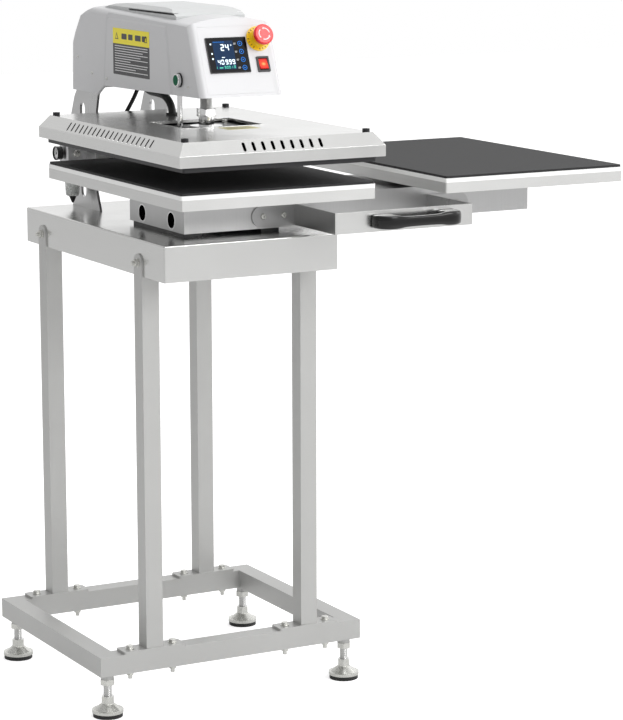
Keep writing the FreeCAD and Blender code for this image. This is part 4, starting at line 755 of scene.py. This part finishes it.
def cover_label():
    work = bmesh.new()
    add_outline(work, on_cover, round_rect(-20.0, 48.0, -134.0, -86.0, 1.5), -0.2, 0.12, 0.0, 0)
    for k in range(5):
        row = round_rect(-14.0, 42.0 - 9 * (k % 2), -128.0 + 7.0 * k, -125.8 + 7.0 * k, 0.4, 1)
        add_outline(work, on_cover, row, 0.08, 0.17, 0.0, 1)
    finished("cover_label", work, ["label_pale", "print_black"], "press")


def hatch_edge():
    """The folded lip round the opening in the cover."""
    work = bmesh.new()
    add_ring_frame(work, on_cover, -85.0, 85.0, -75.0, 75.0, 0.6, 1.2, -5.0, 0.35)
    finished("hatch_lip", work, "cover", "press")


# The regulator's centre, and where the gauge's body starts beside it.
REG_X, REG_Y, REG_Z = -104.5, 402.0, 8.0
GAUGE_X = REG_X - 24.0


def gauge_face():
    """White dial with a scale and a coloured arc, sunk in its rim."""
    dial_x = GAUGE_X - 12.0 + 2.65
    place = lambda a, b, o: at(dial_x - o, REG_Y - a, REG_Z + b)
    work = bmesh.new()
    add_outline(work, place, circle(0, 0, 12.5, 48), -0.2, 0.1, 0.0, 0)
    for k in range(25):
        t = math.radians(210 - 10 * k)
        long = k % 6 == 0
        c, d = math.cos(t), math.sin(t)
        ring = []
        for r, w in ((10.4, -0.16), (10.4, 0.16), (8.2 if long else 9.3, 0.16),
                     (8.2 if long else 9.3, -0.16)):
            ring.append((r * c - w * d, r * d + w * c))
        add_outline(work, place, ring, 0.08, 0.14, 0.0, 1)
    add_ring(work, place, 0, 0, 10.5, 11.1, 0.08, 0.14, 150, 210, index=2, steps=16)
    for k in range(5):
        t = math.radians(210 - 60 * k)
        add_digit(work, place, str(2 * k), 6.3 * math.cos(t) - 0.55, 6.3 * math.sin(t) - 0.9, 1.1, 1.8,
                  0.28, 0.08, 0.14, 1)
    finished("gauge_dial", work, ["print_white", "print_black", "green"], "frame")
    work = bmesh.new()
    rim = [(13.5, 9.8), (14.1, 10.1), (14.1, 12.5), (13.7, 12.9), (12.9, 12.5), (12.7, 10.0)]
    add_lathe(work, at(GAUGE_X, REG_Y, REG_Z), (-1, 0, 0), rim, 56)
    finished("gauge_rim", work, "plastic", "frame", True)


def knob_crown():
    """Raised ring and pointer on top of the regulator's knob."""
    work = bmesh.new()
    knob_top = 66.5
    base = at(REG_X, REG_Y, knob_top)
    add_lathe(work, base, (0, 0, 1), [(15.0, -0.2), (14.6, 0.5), (11.5, 0.6), (11.0, -0.1)], 48)
    place = lambda a, b, o: at(REG_X + a, REG_Y + b, knob_top + o)
    add_outline(work, place, [(-1.2, -9.5), (1.2, -9.5), (0.0, -5.0)], -0.1, 0.3, 0.0, 0)
    finished("knob_crown", work, "plastic", "pressure_knob", True)


def push_rings():
    """Release ring of the regulator's push-in fitting."""
    work = bmesh.new()
    profile = [(4.2, -3.0), (6.0, -0.3), (6.0, 0.9), (5.6, 1.3), (4.1, 1.3)]
    add_lathe(work, at(-71.5, REG_Y, REG_Z), (1, 0, 0), profile, 32)
    finished("push_ring", work, "push_ring", "frame", True)


# ---------------------------------------------------------------------------
# Handle
# ---------------------------------------------------------------------------
def handle_moulding():
    """The moulded bow handle: broad feet that draw in to a slimmer grip, swept in one skin."""
    lo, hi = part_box("handle")
    length, mid_z = (hi.x - lo.x) / MM, (lo.z + hi.z) / 2
    # Along the handle, out from the bracket, half width, half height, and turn in degrees.
    half = [(22.0, 0.0, 21.9, 13.4, 0), (22.0, 6.0, 21.8, 13.4, 0), (22.0, 16.0, 21.4, 13.4, 3),
            (23.5, 23.0, 19.6, 13.3, 20),
            (30.0, 29.0, 15.0, 13.0, 55), (40.0, 31.4, 8.8, 12.6, 84), (47.0, 31.6, 8.3, 11.4, 90),
            (54.0, 31.8, 7.8, 10.0, 90), (76.0, 32.0, 7.6, 9.6, 90)]
    mirrored = [(length - x, y, w, h, 180 - turn) for x, y, w, h, turn in reversed(half)]
    rows = half + [(length / 2, 32.1, 7.5, 9.5, 90)] + mirrored
    count = 20
    power = 0.36
    work = bmesh.new()
    rings = []
    for x, y, w, h, turn in rows:
        t = math.radians(turn)
        across = Vector((math.cos(t), math.sin(t), 0))
        centre = Vector((lo.x + x * MM, hi.y - y * MM, mid_z))
        ring = []
        for k in range(count):
            u = 2 * math.pi * k / count
            c, d = math.cos(u), math.sin(u)
            ring.append(work.verts.new(centre + across * math.copysign(abs(c) ** power, c) * w * MM
                                       + Vector((0, 0, math.copysign(abs(d) ** power, d) * h * MM))))
        rings.append(ring)
    for p, q in zip(rings, rings[1:]):
        for k in range(count):
            work.faces.new((p[k], p[(k + 1) % count], q[(k + 1) % count], q[k]))
    work.faces.new(rings[0])
    work.faces.new(list(reversed(rings[-1])))
    made = finished("handle_moulding", work, "gloss", "carriage", True)
    smooth = made.modifiers.new("smooth", "SUBSURF")
    smooth.levels = smooth.render_levels = 2
    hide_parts("handle")


# ---------------------------------------------------------------------------
# Stand: weld beads
# ---------------------------------------------------------------------------
def add_bead(work, start, end, radius, seed):
    """A weld bead: a run of overlapping ripples with a slightly uneven width."""
    rand = random.Random(seed)
    start, end = Vector(start), Vector(end)
    along = end - start
    count = max(4, int(along.length / (radius * 0.55)))
    right, up, ahead = frame_of(along, (0.2, 0.5, 0.84) if abs(along.normalized().z) < 0.9 else (1, 0.2, 0))
    rings = []
    for k in range(count + 1):
        f = k / count
        r = radius * (1.0 + 0.16 * math.sin(k * 2.4) + rand.uniform(-0.10, 0.10))
        if k in (0, count):
            r *= 0.4
        place = start + along * f
        rings.append([work.verts.new(place + (right * math.cos(t) + up * math.sin(t)) * r)
                      for t in [2 * math.pi * m / 8 for m in range(8)]])
    for p, q in zip(rings, rings[1:]):
        for m in range(8):
            work.faces.new((p[m], p[(m + 1) % 8], q[(m + 1) % 8], q[m]))
    work.faces.new(rings[0])
    work.faces.new(rings[-1])


def stand_welds():
    work = bmesh.new()
    seed = 3
    for front in ("front", "rear"):
        rail_lo, rail_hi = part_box("base_rail_" + front)
        for side in ("left", "right"):
            side_lo, side_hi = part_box("base_rail_" + side)
            x = side_hi.x if side == "left" else side_lo.x
            y = rail_hi.y if front == "front" else rail_lo.y
            add_bead(work, (x, y, rail_lo.z + 0.002), (x, y, rail_hi.z - 0.002), 0.0016, seed)
            seed += 1
            lo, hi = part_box("leg_%s_%s" % (front, side))
            foot = rail_hi.z + 0.005
            mid = (lo.x + hi.x) / 2
            for dy in (-0.0175, 0.0175):
                y0 = (lo.y + hi.y) / 2 + dy
                add_bead(work, (mid - 0.0165, y0, foot), (mid + 0.0165, y0, foot), 0.0015, seed)
                seed += 1
            for dx in (-0.0175, 0.0175):
                y0 = (lo.y + hi.y) / 2
                add_bead(work, (mid + dx, y0 - 0.0165, foot), (mid + dx, y0 + 0.0165, foot), 0.0015, seed)
                seed += 1
    finished("stand_welds", work, "weld", "frame", True)


# ---------------------------------------------------------------------------
# Rear of the head
# ---------------------------------------------------------------------------
def rear_plate():
    """Blank rating plate, vent louvres and the inlet's screws, on the leaning rear of the head."""
    lean = math.atan2(4.0, 84.0)
    place = lambda a, b, o: at(-a, 433.0 - 4.0 * (b - 133.0) / 84.0 + o * math.cos(lean),
                               b + o * math.sin(lean))
    work = bmesh.new()
    add_outline(work, place, round_rect(36.0, 74.0, 152.0, 178.0, 1.5), -0.3, 0.35, 0.15, 0)
    for k in range(4):
        row = round_rect(40.0, 70.0 - 7 * (k % 2), 156.0 + 5.0 * k, 157.4 + 5.0 * k, 0.3, 1)
        add_outline(work, place, row, 0.3, 0.42, 0.0, 1)
    finished("rating_plate", work, ["alu", "print_black"], "frame")
    work = bmesh.new()
    for k in range(6):
        b = 190.0 + 4.2 * k
        add_outline(work, place, round_rect(-40.0, 40.0, b, b + 2.0, 0.9), -0.6, 0.5, 0.3, 0)
    finished("rear_louvres", work, "head", "frame")
    work = bmesh.new()
    for a in (-22.5, 22.5):
        origin = place(a, 165.0, 3.2)
        small_screw(work, origin, place(a, 165.0, 10) - place(a, 165.0, 0), 2.6, 1.4)
    finished("inlet_screws", work, "zinc", "frame", True)


screen()
stop_button_marks()
side_label()
head_screws()
rod_bushes()
cover_label()
hatch_edge()
gauge_face()
knob_crown()
push_rings()
handle_moulding()
stand_welds()
rear_plate()


# ---------------------------------------------------------------------------
# Stage
# ---------------------------------------------------------------------------
def stage():
    """White paper that reads as pure white, with only soft shadows left on it."""
    mesh = bpy.data.meshes.new("floor")
    work = bmesh.new()
    size = 14.0
    spread = ((-size, -size), (size, -size), (size, size), (-size, size))
    corners = [work.verts.new((x, y, 0.0)) for x, y in spread]
    work.faces.new(corners)
    work.to_mesh(mesh)
    work.free()
    floor = bpy.data.objects.new("floor", mesh)
    bpy.context.scene.collection.objects.link(floor)
    material, tree, shader = new_material("floor_paper")
    cloud = noise(tree, 40.0, 3.0)
    tree.links.new(mixed(tree, (0.88, 0.88, 0.88), (0.90, 0.90, 0.90), cloud), shader.inputs["Base Color"])
    shader.inputs["Roughness"].default_value = 0.8
    shader.inputs["Specular IOR Level"].default_value = 0.1
    shader.inputs["Emission Color"].default_value = (1, 1, 1, 1)
    seen = tree.nodes.new("ShaderNodeLightPath")
    lift = tree.nodes.new("ShaderNodeMath")
    lift.operation = "MULTIPLY"
    tree.links.new(seen.outputs["Is Camera Ray"], lift.inputs[0])
    lift.inputs[1].default_value = 0.56
    tree.links.new(lift.outputs[0], shader.inputs["Emission Strength"])
    mesh.materials.append(material)


def lamp(name, location, target, power, size, color=(1, 1, 1)):
    data = bpy.data.lights.new(name, "AREA")
    data.energy = power
    data.shape = "RECTANGLE"
    data.size, data.size_y = size
    data.color = color
    made = bpy.data.objects.new(name, data)
    bpy.context.scene.collection.objects.link(made)
    made.location = location
    made.rotation_euler = (Vector(target) - Vector(location)).to_track_quat("-Z", "Y").to_euler()
    return made


def lights():
    world = bpy.data.worlds.new("studio")
    bpy.context.scene.world = world
    world.use_nodes = True
    sky = world.node_tree
    back = sky.nodes["Background"]
    # Seen directly the surroundings are pure white; what they cast is dimmer, and darkest from the left.
    seen = sky.nodes.new("ShaderNodeLightPath")
    level = sky.nodes.new("ShaderNodeMix")
    level.data_type = "FLOAT"
    place = sky.nodes.new("ShaderNodeTexCoord")

    def towards(direction, stops):
        turned = sky.nodes.new("ShaderNodeVectorMath")
        turned.operation = "DOT_PRODUCT"
        turned.inputs[1].default_value = Vector(direction).normalized()
        sky.links.new(place.outputs["Generated"], turned.inputs[0])
        return ramp(sky, turned.outputs["Value"], stops)

    both = sky.nodes.new("ShaderNodeMath")
    both.operation = "ADD"
    sky.links.new(towards((0.80, -0.45, 0.35), [(0.0, 0.50), (0.35, 0.62), (0.9, 1.0)]), both.inputs[0])
    sky.links.new(towards((0.44, 0.87, 0.12), [(0.45, 0.0), (0.72, 0.22), (0.92, 0.52)]), both.inputs[1])
    sky.links.new(both.outputs[0], level.inputs["A"])
    level.inputs["B"].default_value = 1.0
    sky.links.new(seen.outputs["Is Camera Ray"], level.inputs["Factor"])
    sky.links.new(level.outputs["Result"], back.inputs["Strength"])
    back.inputs["Color"].default_value = (1.0, 1.0, 1.0, 1)
    target = (0.0, 0.0, 0.9)
    lamp("key", (1.4, -4.2, 3.2), target, 92, (2.4, 2.4))
    lamp("right", (4.2, -0.6, 2.4), target, 30, (2.4, 2.4))
    lamp("top", (0.3, 0.2, 4.4), target, 45, (3.0, 2.4))


stage()
lights()

bpy.context.scene.view_settings.view_transform = "Standard"
